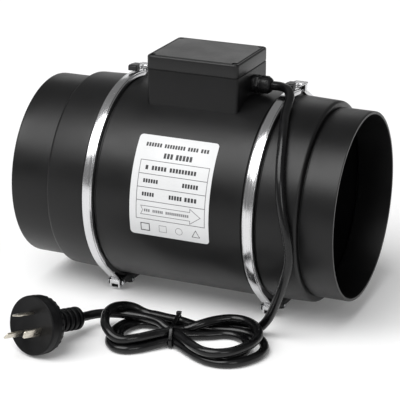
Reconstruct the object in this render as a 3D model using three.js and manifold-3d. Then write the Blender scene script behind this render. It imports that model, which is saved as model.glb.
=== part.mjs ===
// Inline mixed-flow duct fan for 200 mm pipe, on two clamp feet, with its mains lead.
// Millimetres, +Z up. The duct axis runs along X and air flows towards +X.
// The origin is on the floor, below the middle of the duct.
import * as THREE from 'three';
import { mergeVertices } from 'three/addons/utils/BufferGeometryUtils.js';
import Module from 'manifold-3d';

const wasm = await Module();
wasm.setup();

// ---------------------------------------------------------------- driving dimensions
const AXIS_HEIGHT = 120.5;
const GAP = 0.3;
const TURN_STEPS = 40;
// Half the length of a cut that goes right through a clamp, foot or latch.
const THROUGH = 20;

const DUCT = { length: 360, spigotRadius: 99, wall: 3 };
const STEP_X = { inlet: -135, outlet: 144 };
const CLAMP_X = { inlet: -84.5, outlet: 94 };
const CASING_RADIUS = 108;
const SECTION_RADIUS = 107;
const FLANGE = { radius: 110, halfWidth: 3.4, gasketHalf: 0.8 };
const CABLE_WAY = { x: 8, y: -5, radius: 6 };

const STRAP = { inner: 110.5, outer: 112.4, halfWidth: 4.9, legRadius: 107.8, legHalfWidth: 6.4 };
const STRAP_LEAVES = 138;
const FRONT_STRAP_END = -13;
const REAR_STRAP_END = 19;

const HINGE = { y: 45, z: -111, pinRadius: 2, eyeRadius: 4.2, eyeWidth: 11.6, headRadius: 3.1, headX: 7.9 };
const FOOT = { inner: 110.5, outer: 113.4, halfWidth: 7.5, flange: 1.3, span: 17 };
const BUMPER = { y: 20, radius: 4.3, centreHeight: 3.9, pinRadius: 1.5, headRadius: 2.4 };

const LEVER = { pinY: 17, pinZ: 117, pinRadius: 1.5, frontY: 0.6, halfWidth: 5, slotHalfWidth: 2.8 };
const BAIL = { y: 9.5, z: 116.4, farY: 41, farZ: 112.7, wire: 0.9, sideX: 6.3 };
const CATCH = { y0: 37.6, y1: 43.8, top: 111.4 };
const LINK_PLATE = { y0: 22.5, y1: 40.2, thickness: 1.3, halfWidth: 6.6 };

const LID_SCREW = { inset: 5.6, postRadius: 4.8, headRadius: 2.5, shankRadius: 1.4, slot: 1.8 };
const BOX = { x0: -45, x1: 57, y0: -48, y1: 35, seam: 134.5, top: 149, corner: 5, wall: 2.6 };
const GLAND = { y: -4, z: 119, flangeRadius: 9.4, nutRadius: 9.4, end: 78 };
const LABEL = { x0: -36.6, x1: 51.4, low: -13.4, high: 43.4, thickness: 0.5 };

const MOTOR = { x0: -34, x1: 62, radius: 46 };
const SHAFT = { radius: 6, noseRadius: 4, bearingRadius: 12, bearingWidth: 9 };
const IMPELLER = { x0: -76, x1: -40, hubFront: 30, hubBack: 52, tipFront: 92, tipBack: 96, blades: 7 };
const VANES = { x0: 0, x1: 60, count: 7 };

const CORD = { radius: 4.75, arcSteps: 5 };
const HANK = { height: 27.4, tieX: 28, tieY: -138, waistHalf: 24, waistTop: 20.6, waistLow: 2.4 };
const TIE = { width: 5, thickness: 1.8, turn: -12 };
const PLUG = { face: [-86.8, -230, 32.4], facing: [-0.258, -0.942, 0.213], depth: 23.5, reliefEnd: 72 };

// The free end of the lead from the gland to the hank, and from the hank to the plug.
const DROP_ROUTE = [
  [78.3, -4, 239.5], [89.4, -6.3, 239.9], [97.6, -11.9, 239.2], [103.2, -19.6, 235.9], [105.8, -31, 230],
  [108.5, -47, 222.6], [113.5, -64, 212.9], [118, -80, 199.5], [122, -94, 182.1], [126.5, -104.5, 161.9],
  [131.5, -110.3, 142.1], [136.5, -112.8, 123.5], [139.3, -113.2, 108.5], [139.8, -112.6, 93.5],
  [135.8, -110.5, 76.5], [130.3, -107, 60], [124, -103, 44], [117.5, -99.5, 29.5], [110.5, -97.5, 18.5],
  [103, -96, 11],
];
const TAIL_ROUTE = [
  [-68.2, -162.2, 17.1], [-65.4, -153, 15.6], [-60, -145.5, 14.8], [-51, -140.5, 14.3], [-40, -140, 13.8], [-28, -140, 13.5],
];

// ---------------------------------------------------------------- materials
const COLOURS = {
  blackPlastic: [0x1b1c1d, 0.55, 0],
  lidPlastic: [0x242526, 0.5, 0],
  stainless: [0xc9cacb, 0.28, 0.95],
  blackSteel: [0x121212, 0.5, 0.4],
  zincSteel: [0xb9bbbd, 0.35, 0.9],
  rubber: [0x101010, 0.75, 0],
  motorPaint: [0x33373a, 0.6, 0.2],
  label: [0xeeefef, 0.45, 0],
  brass: [0xb08d4a, 0.4, 0.9],
  cord: [0x0d0d0d, 0.4, 0],
  terminalBlock: [0xd9d7cf, 0.6, 0],
};

function finish(kind) {
  const [color, roughness, metalness] = COLOURS[kind];
  return new THREE.MeshStandardMaterial({ color, roughness, metalness });
}

// ---------------------------------------------------------------- solids
// A closed geometry as a manifold solid with its faces pointing out.
function solid(geometry) {
  const bare = geometry.clone();
  bare.deleteAttribute('normal');
  bare.deleteAttribute('uv');
  const merged = mergeVertices(bare, 1e-4);
  const p = merged.getAttribute('position').array;
  const index = merged.index.array;
  const triangles = [];
  let volume = 0;
  for (let i = 0; i < index.length; i += 3) {
    const [a, b, c] = [index[i], index[i + 1], index[i + 2]];
    if (a === b || b === c || c === a) continue;
    triangles.push([a, b, c]);
    const [va, vb, vc] = [a, b, c].map((k) => new THREE.Vector3(p[3 * k], p[3 * k + 1], p[3 * k + 2]));
    volume += va.dot(vb.cross(vc));
  }
  const turned = volume < 0 ? triangles.map(([a, b, c]) => [a, c, b]) : triangles;
  const shell = { numProp: 3, vertProperties: new Float32Array(p), triVerts: new Uint32Array(turned.flat()) };
  return new wasm.Manifold(new wasm.Mesh(shell));
}

function joined(pieces) {
  return pieces.reduce((sum, piece) => sum.add(piece));
}

// A solid of revolution about the duct axis, from a profile of [x, radius] pairs.
function revolved(profile, steps = TURN_STEPS) {
  const closed = profile[0][1] === 0 ? profile : [...profile, profile[0]];
  const points = closed.map(([x, radius]) => new THREE.Vector2(radius, x));
  return solid(new THREE.LatheGeometry(points, steps).rotateZ(-Math.PI / 2));
}

// An outline in the Y-Z plane carried along X from x0 to x1.
function alongX(outline, x0, x1, curveSegments = 10) {
  const shape = outline instanceof THREE.Shape ? outline : new THREE.Shape(outline.map(([y, z]) => new THREE.Vector2(y, z)));
  const block = new THREE.ExtrudeGeometry(shape, { depth: x1 - x0, bevelEnabled: false, curveSegments });
  const basis = new THREE.Matrix4().makeBasis(
    new THREE.Vector3(0, 1, 0),
    new THREE.Vector3(0, 0, 1),
    new THREE.Vector3(1, 0, 0),
  );
  return solid(block.applyMatrix4(basis).translate(x0, 0, 0));
}

// An outline in the X-Y plane carried up from z0 to z1.
function alongZ(shape, z0, z1, curveSegments = 5) {
  const block = new THREE.ExtrudeGeometry(shape, { depth: z1 - z0, bevelEnabled: false, curveSegments });
  return solid(block.translate(0, 0, z0));
}

function box(x0, x1, y0, y1, z0, z1) {
  const block = new THREE.BoxGeometry(x1 - x0, y1 - y0, z1 - z0);
  return solid(block.translate((x0 + x1) / 2, (y0 + y1) / 2, (z0 + z1) / 2));
}

// A rod parallel to X, from x0 to x1, on the axis (y, z).
function rodX(x0, x1, y, z, radius, sides = 16) {
  const rod = new THREE.CylinderGeometry(radius, radius, x1 - x0, sides).rotateZ(-Math.PI / 2);
  return solid(rod.translate((x0 + x1) / 2, y, z));
}

function rodZ(x, y, z0, z1, radius, sides = 12) {
  const rod = new THREE.CylinderGeometry(radius, radius, z1 - z0, sides).rotateX(Math.PI / 2);
  return solid(rod.translate(x, y, (z0 + z1) / 2));
}

function roundedRectangle(x0, x1, y0, y1, radius) {
  const shape = new THREE.Shape();
  shape.moveTo(x0 + radius, y0);
  shape.lineTo(x1 - radius, y0);
  shape.absarc(x1 - radius, y0 + radius, radius, -Math.PI / 2, 0);
  shape.lineTo(x1, y1 - radius);
  shape.absarc(x1 - radius, y1 - radius, radius, 0, Math.PI / 2);
  shape.lineTo(x0 + radius, y1);
  shape.absarc(x0 + radius, y1 - radius, radius, Math.PI / 2, Math.PI);
  shape.lineTo(x0, y0 + radius);
  shape.absarc(x0 + radius, y0 + radius, radius, Math.PI, 1.5 * Math.PI);
  return shape;
}

// A place on the circle of a radius about the duct axis: the angle opens from the crown
// towards +Y where side is 1, and towards -Y where side is -1.
function onCircle(radius, degrees, side) {
  const angle = THREE.MathUtils.degToRad(degrees);
  return [side * radius * Math.sin(angle), radius * Math.cos(angle)];
}

// The wedge of the Y-Z plane between two such angles, from x0 to x1.
function wedge(from, to, side, x0, x1) {
  const outline = [[0, 0]];
  const count = Math.max(2, Math.ceil((to - from) / 30));
  for (let i = 0; i <= count; i += 1) outline.push(onCircle(400, from + ((to - from) * i) / count, side));
  return alongX(outline, x0, x1);
}

function tube(route, radius, arcSteps, steps) {
  const curve = new THREE.CatmullRomCurve3(route.map((p) => new THREE.Vector3(...p)));
  const section = new THREE.Shape();
  section.absarc(0, 0, radius, 0, 2 * Math.PI);
  const form = { steps, extrudePath: curve, curveSegments: arcSteps, bevelEnabled: false };
  return solid(new THREE.ExtrudeGeometry(section, form));
}

// ---------------------------------------------------------------- the group
const fan = new THREE.Group();

function place(name, body, kind, lift = AXIS_HEIGHT) {
  const { vertProperties, triVerts } = body.getMesh();
  const geometry = new THREE.BufferGeometry();
  geometry.setAttribute('position', new THREE.BufferAttribute(vertProperties, 3));
  geometry.setIndex(new THREE.BufferAttribute(triVerts, 1));
  const mesh = new THREE.Mesh(geometry, finish(kind));
  mesh.name = name;
  mesh.position.z = lift;
  fan.add(mesh);
}

// ---------------------------------------------------------------- duct casing
// One end section: a spigot, a rounded step and a full-width part that ends in a flange.
function endSection(end) {
  const out = end === 'outlet' ? 1 : -1;
  const rim = (out * DUCT.length) / 2;
  const step = STEP_X[end];
  const joint = CLAMP_X[end] + out * (GAP + FLANGE.gasketHalf);
  const flangeBack = CLAMP_X[end] + out * FLANGE.halfWidth;
  const { spigotRadius, wall } = DUCT;
  return revolved([
    [rim, spigotRadius - wall],
    [rim, spigotRadius - 0.6],
    [rim - out * 0.8, spigotRadius],
    [step + out * 1.2, spigotRadius],
    [step + out * 1.2, spigotRadius - 0.8],
    [step, spigotRadius - 0.8],
    [step, SECTION_RADIUS - 4.4],
    [step - out * 0.9, SECTION_RADIUS - 2.4],
    [step - out * 2.4, SECTION_RADIUS - 1.2],
    [step - out * 5, SECTION_RADIUS - 0.8],
    [flangeBack + out * 1.2, SECTION_RADIUS],
    [flangeBack, FLANGE.radius],
    [joint, FLANGE.radius],
    [joint, SECTION_RADIUS - wall],
    [step - out * 9, SECTION_RADIUS - wall - 1],
    [step - out * 3, spigotRadius - wall],
  ]);
}

function flangeGasket(end) {
  const x = CLAMP_X[end];
  const half = FLANGE.gasketHalf;
  const inner = CASING_RADIUS - 4;
  const outer = FLANGE.radius - 0.4;
  return revolved([[x - half, inner], [x + half, inner], [x + half, outer], [x - half, outer]]);
}

function motorCasing() {
  const x0 = CLAMP_X.inlet + GAP + FLANGE.gasketHalf;
  const x1 = CLAMP_X.outlet - GAP - FLANGE.gasketHalf;
  const flange = FLANGE.halfWidth - GAP - FLANGE.gasketHalf;
  const shell = revolved([
    [x0, FLANGE.radius],
    [x0 + flange, FLANGE.radius],
    [x0 + flange + 1.4, CASING_RADIUS - 1.4],
    [x0 + flange + 4, CASING_RADIUS - 1.4],
    [x0 + flange + 5.4, CASING_RADIUS],
    [x1 - flange - 5.4, CASING_RADIUS],
    [x1 - flange - 4, CASING_RADIUS - 1.4],
    [x1 - flange - 1.4, CASING_RADIUS - 1.4],
    [x1 - flange, FLANGE.radius],
    [x1, FLANGE.radius],
    [x1, CASING_RADIUS - 4],
    [x0, CASING_RADIUS - 4],
  ]);
  const cableWay = rodZ(CABLE_WAY.x, CABLE_WAY.y, 90, 125, CABLE_WAY.radius);
  return shell.subtract(cableWay);
}

place('inlet_section', endSection('inlet'), 'blackPlastic');
place('outlet_section', endSection('outlet'), 'blackPlastic');
place('motor_casing', motorCasing(), 'blackPlastic');
for (const end of ['inlet', 'outlet']) place(`${end}_gasket`, flangeGasket(end), 'rubber');

// ---------------------------------------------------------------- motor, impeller and guide vanes
// A flat blade between two radii, leaning by a pitch about its own radius.
function blade(radius0, radius1, x, chord, thickness, pitch, turn) {
  const plate = new THREE.BoxGeometry(chord, thickness, radius1 - radius0);
  plate.rotateZ(pitch);
  plate.translate(x, 0, (radius0 + radius1) / 2);
  return solid(plate.rotateX(turn));
}

function guideVanes() {
  const { x0, x1, count } = VANES;
  const sleeve = revolved([
    [x0, MOTOR.radius + GAP], [x1, MOTOR.radius + GAP], [x1, MOTOR.radius + 3], [x0, MOTOR.radius + 3],
  ]);
  const reach = CASING_RADIUS - 4 - 1;
  const vanes = [];
  for (let i = 0; i < count; i += 1) {
    const turn = (2 * Math.PI * (i + 0.5)) / count;
    vanes.push(blade(MOTOR.radius + 2, reach, (x0 + x1) / 2, x1 - x0 - 6, 2.4, 0.14, turn));
  }
  return joined([sleeve, ...vanes]);
}

function impeller() {
  const { x0, x1, hubFront, hubBack, tipFront, tipBack, blades } = IMPELLER;
  const bore = SHAFT.radius + GAP;
  const hub = revolved([
    [x0, bore], [x0, hubFront - 8], [x0 + 3, hubFront], [x1, hubBack], [x1, hubBack - 4],
    [x0 + 8, hubFront - 4], [x0 + 8, 14], [x1 - 8, 14], [x1 - 8, bore],
  ]);
  const sweep = revolved([[x0, 10], [x0, tipFront], [x1, tipBack], [x1, 48], [x0 + 5, 26]], 24);
  const wings = [];
  for (let i = 0; i < blades; i += 1) {
    wings.push(blade(18, 99, (x0 + x1) / 2, 48, 2.6, 0.62, (2 * Math.PI * i) / blades));
  }
  return hub.add(joined(wings).intersect(sweep));
}

place('guide_vanes', guideVanes(), 'blackPlastic');
place('motor_housing', revolved([
  [MOTOR.x0, SHAFT.bearingRadius + GAP], [MOTOR.x0, 34], [MOTOR.x0 + 5, MOTOR.radius], [MOTOR.x1 - 3, MOTOR.radius],
  [MOTOR.x1, MOTOR.radius - 3], [MOTOR.x1, SHAFT.bearingRadius + GAP],
], 32), 'motorPaint');
place('motor_end_cap', revolved([
  [MOTOR.x1 + GAP, 0], [MOTOR.x1 + GAP, 30], [MOTOR.x1 + 4, 28], [MOTOR.x1 + 12, 14], [MOTOR.x1 + 14, 0],
], 32), 'blackPlastic');
function bearing(x0) {
  const { radius, bearingRadius, bearingWidth } = SHAFT;
  const x1 = x0 + bearingWidth;
  return revolved([[x0, radius + GAP], [x0, bearingRadius], [x1, bearingRadius], [x1, radius + GAP]], 24);
}
const bearings = { front: MOTOR.x0 + 0.5, rear: MOTOR.x1 - 0.5 - SHAFT.bearingWidth };
for (const [end, x] of Object.entries(bearings)) {
  place(`bearing_${end}`, bearing(x), 'zincSteel');
}
place('motor_shaft', revolved([
  [IMPELLER.x0 - 6, 0], [IMPELLER.x0 - 6, SHAFT.noseRadius], [IMPELLER.x0 - GAP, SHAFT.noseRadius],
  [IMPELLER.x0 - GAP, SHAFT.radius], [MOTOR.x1 - GAP, SHAFT.radius], [MOTOR.x1 - GAP, 0],
], 24), 'zincSteel');
place('impeller', impeller(), 'blackPlastic');
place('impeller_cone', revolved([
  [IMPELLER.x0 - 0.5, 4.4], [IMPELLER.x0 - 0.5, 20], [IMPELLER.x0 - 7, 17], [IMPELLER.x0 - 14, 8],
  [IMPELLER.x0 - 16, 0], [IMPELLER.x0 - 6.4, 0], [IMPELLER.x0 - 6.4, 4.4],
].reverse(), 24), 'blackPlastic');

// ---------------------------------------------------------------- clamps and feet
// Half a clamp band: a channel that holds the flanges, a straight run down to the hinge pin
// and a stirrup with a window around the pin.
function strapHalf(x, side, topEnd) {
  const { inner, outer, halfWidth, legRadius, legHalfWidth } = STRAP;
  const channel = revolved([
    [x - legHalfWidth, legRadius], [x - halfWidth, outer], [x + halfWidth, outer], [x + legHalfWidth, legRadius],
    [x + legHalfWidth - 1.4, legRadius], [x + halfWidth - 0.9, inner], [x - halfWidth + 0.9, inner],
    [x - legHalfWidth + 1.4, legRadius],
  ]);
  const arc = channel.intersect(wedge(topEnd, STRAP_LEAVES - 4, side, x - 10, x + 10));
  const flat = revolved([[x - halfWidth, inner], [x + halfWidth, inner], [x + halfWidth, outer], [x - halfWidth, outer]]);
  const lead = flat.intersect(wedge(topEnd, STRAP_LEAVES, side, x - 10, x + 10));
  const [outY, outZ] = onCircle(1, STRAP_LEAVES - 0.5, side);
  const atRun = (radius, along) => [outY * radius + side * outZ * along, outZ * radius - side * outY * along];
  const { y, z, pinRadius, eyeRadius, eyeWidth } = HINGE;
  const run = alongX(
    [atRun(outer, 0), atRun(inner + 0.2, 0), atRun(inner + 0.2, 39), atRun(outer, 39)],
    x - halfWidth, x + halfWidth,
  );
  const stirrup = alongX([
    [side * (y - eyeRadius), z + 3], [side * (y - 0.5), z + eyeRadius], [side * (y + eyeRadius), z + 3],
    [side * (y + eyeRadius), z - 5.6], [side * (y + 3), z - 6.6], [side * (y - 3), z - 6.6],
    [side * (y - eyeRadius), z - 5.6],
  ], x - eyeWidth / 2, x + eyeWidth / 2);
  const window = box(x - 4, x + 4, side * y - 9, side * y + 9, z - 5.3, z - 2.4);
  const hole = rodX(x - THROUGH, x + THROUGH, side * y, z, pinRadius + GAP, 14);
  return joined([arc, lead, run, stirrup]).subtract(window).subtract(hole);
}

function frontStrap(x) {
  const { pinY, pinZ, pinRadius } = LEVER;
  const lug = alongX([
    [pinY - 4, 110.8], [pinY + 6.5, 109.4], [pinY + 2.6, pinZ + 1.2], [pinY + 1.2, pinZ + 2.6],
    [pinY - 1.2, pinZ + 2.6], [pinY - 2.6, pinZ + 1.2],
  ], x - 2.5, x + 2.5);
  const hole = rodX(x - THROUGH, x + THROUGH, pinY, pinZ, pinRadius + GAP, 14);
  return strapHalf(x, -1, FRONT_STRAP_END).add(lug).subtract(hole);
}

function rearStrap(x) {
  const { y0, y1, top } = CATCH;
  const block = alongX([
    [y0, 105.6], [y1, 102.6], [y1, top - 1.6], [y1 - 0.8, top], [y1 - 2, top - 0.7],
    [y0 + 2, top - 0.7], [y0 + 1, top], [y0, top - 1.2],
  ], x - STRAP.halfWidth, x + STRAP.halfWidth);
  return strapHalf(x, 1, REAR_STRAP_END).add(block);
}

// The saddle foot: a curved plate under the flanges with two side flanges that carry the pins.
function foot(x) {
  const { inner, outer, halfWidth, flange, span } = FOOT;
  const under = (radius0, radius1, half) => revolved([
    [x - half, radius0], [x + half, radius0], [x + half, radius1], [x - half, radius1],
  ]);
  const bottom = alongX(
    [[0, 0], onCircle(400, 180 - span, 1), onCircle(500, 180, 1), onCircle(400, 180 - span, -1)],
    x - THROUGH, x + THROUGH,
  );
  const saddle = under(inner, outer, halfWidth).intersect(bottom);
  const cheeks = [];
  for (const out of [-1, 1]) {
    const x0 = out > 0 ? x + halfWidth - flange : x - halfWidth;
    const x1 = x0 + flange;
    const plate = revolved([[x0, inner], [x1, inner], [x1, 118.6], [x0, 118.6]]).intersect(bottom);
    cheeks.push(plate);
    for (const side of [-1, 1]) {
      const { y, z } = HINGE;
      const arm = [
        onCircle(inner + 0.6, 180 - span + 1, side), onCircle(118.4, 180 - span + 1, side),
        [side * (y - 1), z - 3.9], [side * (y + 2.8), z - 2.8], [side * (y + 3.9), z], [side * (y + 2.4), z + 3],
      ];
      const { y: bumperY, centreHeight } = BUMPER;
      const ear = rodX(x0, x1, side * bumperY, centreHeight - AXIS_HEIGHT, 3.4, 14);
      cheeks.push(alongX(arm, x0, x1), ear);
    }
  }
  let bracket = joined([saddle, ...cheeks]);
  for (const side of [-1, 1]) {
    const bumperZ = BUMPER.centreHeight - AXIS_HEIGHT;
    bracket = bracket.subtract(rodX(x - THROUGH, x + THROUGH, side * HINGE.y, HINGE.z, HINGE.pinRadius + GAP, 14));
    bracket = bracket.subtract(rodX(x - THROUGH, x + THROUGH, side * BUMPER.y, bumperZ, BUMPER.pinRadius + GAP, 14));
    const seat = rodX(x - halfWidth + flange, x + halfWidth - flange, side * BUMPER.y, bumperZ, BUMPER.radius + GAP, 14);
    bracket = bracket.subtract(seat);
  }
  return bracket;
}

// A pin along X with a domed head at each end.
function headedPin(x, y, z, radius, headRadius, headX) {
  const profile = [
    [x - headX - 2, 0], [x - headX - 1.8, headRadius * 0.6], [x - headX, headRadius], [x - headX, radius],
    [x + headX, radius], [x + headX, headRadius], [x + headX + 1.8, headRadius * 0.6], [x + headX + 2, 0],
  ];
  return revolved(profile, 12).translate(0, y, z);
}

function bumper(x, side) {
  const z = BUMPER.centreHeight - AXIS_HEIGHT;
  const reach = FOOT.halfWidth - FOOT.flange - GAP;
  const roller = rodX(x - reach, x + reach, side * BUMPER.y, z, BUMPER.radius, 14);
  const bore = rodX(x - THROUGH, x + THROUGH, side * BUMPER.y, z, BUMPER.pinRadius + GAP, 14);
  const below = box(x - THROUGH, x + THROUGH, side * BUMPER.y - 10, side * BUMPER.y + 10, -AXIS_HEIGHT - 20, -AXIS_HEIGHT);
  return roller.subtract(bore).subtract(below);
}

function lever(x) {
  const { pinY, pinZ, pinRadius, frontY, halfWidth, slotHalfWidth } = LEVER;
  const body = alongX([
    [frontY, 115.2], [frontY + 0.8, 114.8], [9, 114.6], [pinY - 2, pinZ - 2.4], [pinY + 1, pinZ - 2.5],
    [pinY + 2.7, pinZ - 0.6], [pinY + 2.4, pinZ + 1.4], [pinY + 0.6, pinZ + 2.7], [9, 120.6],
    [frontY + 1.2, 120.4], [frontY, 119.4],
  ], x - halfWidth, x + halfWidth);
  const slot = box(x - slotHalfWidth, x + slotHalfWidth, 12.8, 30, 100, 130);
  const pinHole = rodX(x - THROUGH, x + THROUGH, pinY, pinZ, pinRadius + GAP, 14);
  const bailHole = rodX(x - THROUGH, x + THROUGH, BAIL.y, BAIL.z, BAIL.wire + GAP + 0.1, 12);
  return body.subtract(slot).subtract(pinHole).subtract(bailHole);
}

function bail(x) {
  const { y, z, farY, farZ, wire, sideX } = BAIL;
  const cross = (yy, zz) => rodX(x - sideX - wire, x + sideX + wire, yy, zz, wire, 8);
  const pieces = [cross(y, z), cross(farY, farZ)];
  for (const out of [-1, 1]) {
    const x0 = x + out * sideX - wire;
    pieces.push(alongX([
      [y, z + wire], [y - 0.7, z], [y, z - wire], [farY, farZ - wire], [farY + 0.7, farZ], [farY, farZ + wire],
    ], x0, x0 + 2 * wire));
  }
  const onWire = (yy) => z + ((farZ - z) * (yy - y)) / (farY - y);
  const { y0, y1, thickness, halfWidth } = LINK_PLATE;
  pieces.push(alongX([
    [y0, onWire(y0) + 0.2], [y1, onWire(y1) + 0.2], [y1, onWire(y1) + 0.2 + thickness], [y0, onWire(y0) + 0.2 + thickness],
  ], x - halfWidth, x + halfWidth));
  return joined(pieces);
}

for (const [end, x] of Object.entries(CLAMP_X)) {
  place(`front_strap_${end}`, frontStrap(x), 'stainless');
  place(`rear_strap_${end}`, rearStrap(x), 'stainless');
  place(`foot_${end}`, foot(x), 'blackSteel');
  for (const [half, side] of [['front', -1], ['rear', 1]]) {
    const { y, z, pinRadius, headRadius, headX } = HINGE;
    place(`hinge_pin_${half}_${end}`, headedPin(x, side * y, z, pinRadius, headRadius, headX), 'zincSteel');
    place(`bumper_${half}_${end}`, bumper(x, side), 'rubber');
    const bumperZ = BUMPER.centreHeight - AXIS_HEIGHT;
    const pin = headedPin(x, side * BUMPER.y, bumperZ, BUMPER.pinRadius, BUMPER.headRadius, headX);
    place(`bumper_pin_${half}_${end}`, pin, 'zincSteel');
  }
  place(`latch_lever_${end}`, lever(x), 'blackSteel');
  place(`lever_pin_${end}`, rodX(x - 4.9, x + 4.9, LEVER.pinY, LEVER.pinZ, LEVER.pinRadius, 12), 'zincSteel');
  place(`latch_bail_${end}`, bail(x), 'stainless');
}

// ---------------------------------------------------------------- terminal box
const boxOutline = (inset) => roundedRectangle(
  BOX.x0 + inset, BOX.x1 - inset, BOX.y0 + inset, BOX.y1 - inset, Math.max(BOX.corner - inset, 1),
);
const overCasing = revolved([[-70, 0], [-70, CASING_RADIUS + GAP], [80, CASING_RADIUS + GAP], [80, 0]]);
const screwPlaces = [];
for (const x of [BOX.x0 + LID_SCREW.inset, BOX.x1 - LID_SCREW.inset]) {
  for (const y of [BOX.y0 + LID_SCREW.inset, BOX.y1 - LID_SCREW.inset]) screwPlaces.push([x, y]);
}

function terminalBoxBase() {
  const { seam, wall, x1 } = BOX;
  const block = alongZ(boxOutline(0), 88, seam - 0.5);
  const inside = alongZ(boxOutline(wall), CASING_RADIUS + 3, seam + 5);
  const wayIn = rodZ(CABLE_WAY.x, CABLE_WAY.y, 90, 125, CABLE_WAY.radius);
  const glandHole = rodX(x1 - 10, x1 + 5, GLAND.y, GLAND.z, 6 + GAP, 20);
  const posts = screwPlaces.map(([x, y]) => rodZ(x, y, CASING_RADIUS, seam - 0.5, LID_SCREW.postRadius, 10));
  const screwHoles = screwPlaces.map(([x, y]) => rodZ(x, y, 118, seam + 5, LID_SCREW.shankRadius + GAP, 8));
  const shell = joined([block.subtract(inside), ...posts]);
  return shell.subtract(overCasing).subtract(wayIn).subtract(glandHole).subtract(joined(screwHoles));
}

function terminalBoxLid() {
  const { seam, top, wall } = BOX;
  const skirt = alongZ(boxOutline(0), seam + 0.5, top - 2.2);
  const shoulder = alongZ(boxOutline(0.7), top - 2.2, top - 0.9);
  const crown = alongZ(boxOutline(2), top - 0.9, top);
  const inside = alongZ(boxOutline(wall), seam - 1, top - 2.8);
  const posts = screwPlaces.map(([x, y]) => rodZ(x, y, seam + 0.5, top - 2, LID_SCREW.postRadius, 10));
  const shell = joined([joined([skirt, shoulder, crown]).subtract(inside), ...posts]);
  const heads = screwPlaces.map(([x, y]) => rodZ(x, y, top - 3.2, top + 1, LID_SCREW.headRadius + 0.4, 10));
  const shanks = screwPlaces.map(([x, y]) => rodZ(x, y, seam - 1, top, LID_SCREW.shankRadius + GAP, 8));
  return shell.subtract(joined(heads)).subtract(joined(shanks));
}

function lidGasket() {
  const ring = alongZ(boxOutline(0.4), BOX.seam - 0.25, BOX.seam + 0.25);
  const holes = screwPlaces.map(([x, y]) => rodZ(x, y, BOX.seam - 1, BOX.seam + 1, 2.6, 10));
  return ring.subtract(alongZ(boxOutline(BOX.wall - 0.3), BOX.seam - 2, BOX.seam + 2)).subtract(joined(holes));
}

function lidScrew([x, y]) {
  const { top } = BOX;
  const { slot } = LID_SCREW;
  const head = rodZ(x, y, top - 2.9, top - 1.2, LID_SCREW.headRadius, 10);
  const shank = rodZ(x, y, 121, top - 2, LID_SCREW.shankRadius, 8);
  const across = box(x - slot, x + slot, y - 0.4, y + 0.4, top - 1.9, top);
  const along = box(x - 0.4, x + 0.4, y - slot, y + slot, top - 1.9, top);
  return head.add(shank).subtract(across).subtract(along);
}

place('terminal_box_base', terminalBoxBase(), 'blackPlastic');
place('terminal_box_lid', terminalBoxLid(), 'lidPlastic');
place('lid_gasket', lidGasket(), 'rubber');
screwPlaces.forEach((spot, i) => place(`lid_screw_${i + 1}`, lidScrew(spot), 'blackSteel'));
place('terminal_block', box(-26, 0, -28, -12, 115, 127), 'terminalBlock');
place('capacitor', rodX(-24, 22, 14, 122.5, 8.2, 20), 'motorPaint');

// ---------------------------------------------------------------- cable gland
function onGlandAxis(profile, steps) {
  return revolved(profile, steps).translate(0, GLAND.y, GLAND.z);
}

const bore = CORD.radius + GAP;
place('gland_body', onGlandAxis([
  [BOX.x1 - 6, bore], [BOX.x1 - 6, 6], [BOX.x1 + GAP, 6], [BOX.x1 + GAP, GLAND.flangeRadius],
  [BOX.x1 + 6, GLAND.flangeRadius], [BOX.x1 + 6, 7.6], [BOX.x1 + 9, 7.6], [BOX.x1 + 9, bore],
], 18), 'blackPlastic');
place('gland_nut', onGlandAxis([
  [BOX.x1 + 9.3, bore], [BOX.x1 + 9.3, 8.6], [BOX.x1 + 10, GLAND.nutRadius], [GLAND.end - 5, GLAND.nutRadius],
  [GLAND.end - 2, 8.6], [GLAND.end - 0.5, 6.9], [GLAND.end, bore],
], 18), 'blackPlastic');

// ---------------------------------------------------------------- rating label
const labelSheet = revolved([
  [LABEL.x0, CASING_RADIUS + GAP], [LABEL.x1, CASING_RADIUS + GAP],
  [LABEL.x1, CASING_RADIUS + GAP + LABEL.thickness], [LABEL.x0, CASING_RADIUS + GAP + LABEL.thickness],
]);
place('rating_label', labelSheet.intersect(wedge(90 - LABEL.high, 90 - LABEL.low, -1, -100, 100)), 'label');

// ---------------------------------------------------------------- mains lead
// The hank seen from above: two round loops with a waist where the tie holds them.
function hankOutline(grow) {
  const { tieX, tieY, waistHalf } = HANK;
  const places = [
    [tieX, tieY + waistHalf], [56, -91], [80, -83.5], [106, -88], [127, -110], [134, -142], [127, -173],
    [106, -190], [78, -191], [54, -180], [tieX, tieY - waistHalf], [8, -190], [-14, -196], [-38, -188],
    [-54, -166], [-57, -143], [-48, -119], [-26, -103], [0, -101],
  ];
  const points = places.map(([x, y]) => new THREE.Vector3(x, y, 0));
  const curve = new THREE.CatmullRomCurve3(points, true, 'centripetal');
  const middle = new THREE.Vector2(38, tieY);
  return new THREE.Shape(curve.getPoints(38).slice(0, -1).map((p) => {
    const spot = new THREE.Vector2(p.x, p.y);
    return spot.add(spot.clone().sub(middle).setLength(grow));
  }));
}

// A rounded loop around the waist of the hank, turned a little about the vertical.
function aroundWaist(halfDepth, low, high, x0, x1) {
  const section = roundedRectangle(-halfDepth, halfDepth, low, high, 6);
  const loop = alongX(section, x0, x1, 4);
  return loop.rotate([0, 0, TIE.turn]).translate(HANK.tieX, HANK.tieY, 0);
}

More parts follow.
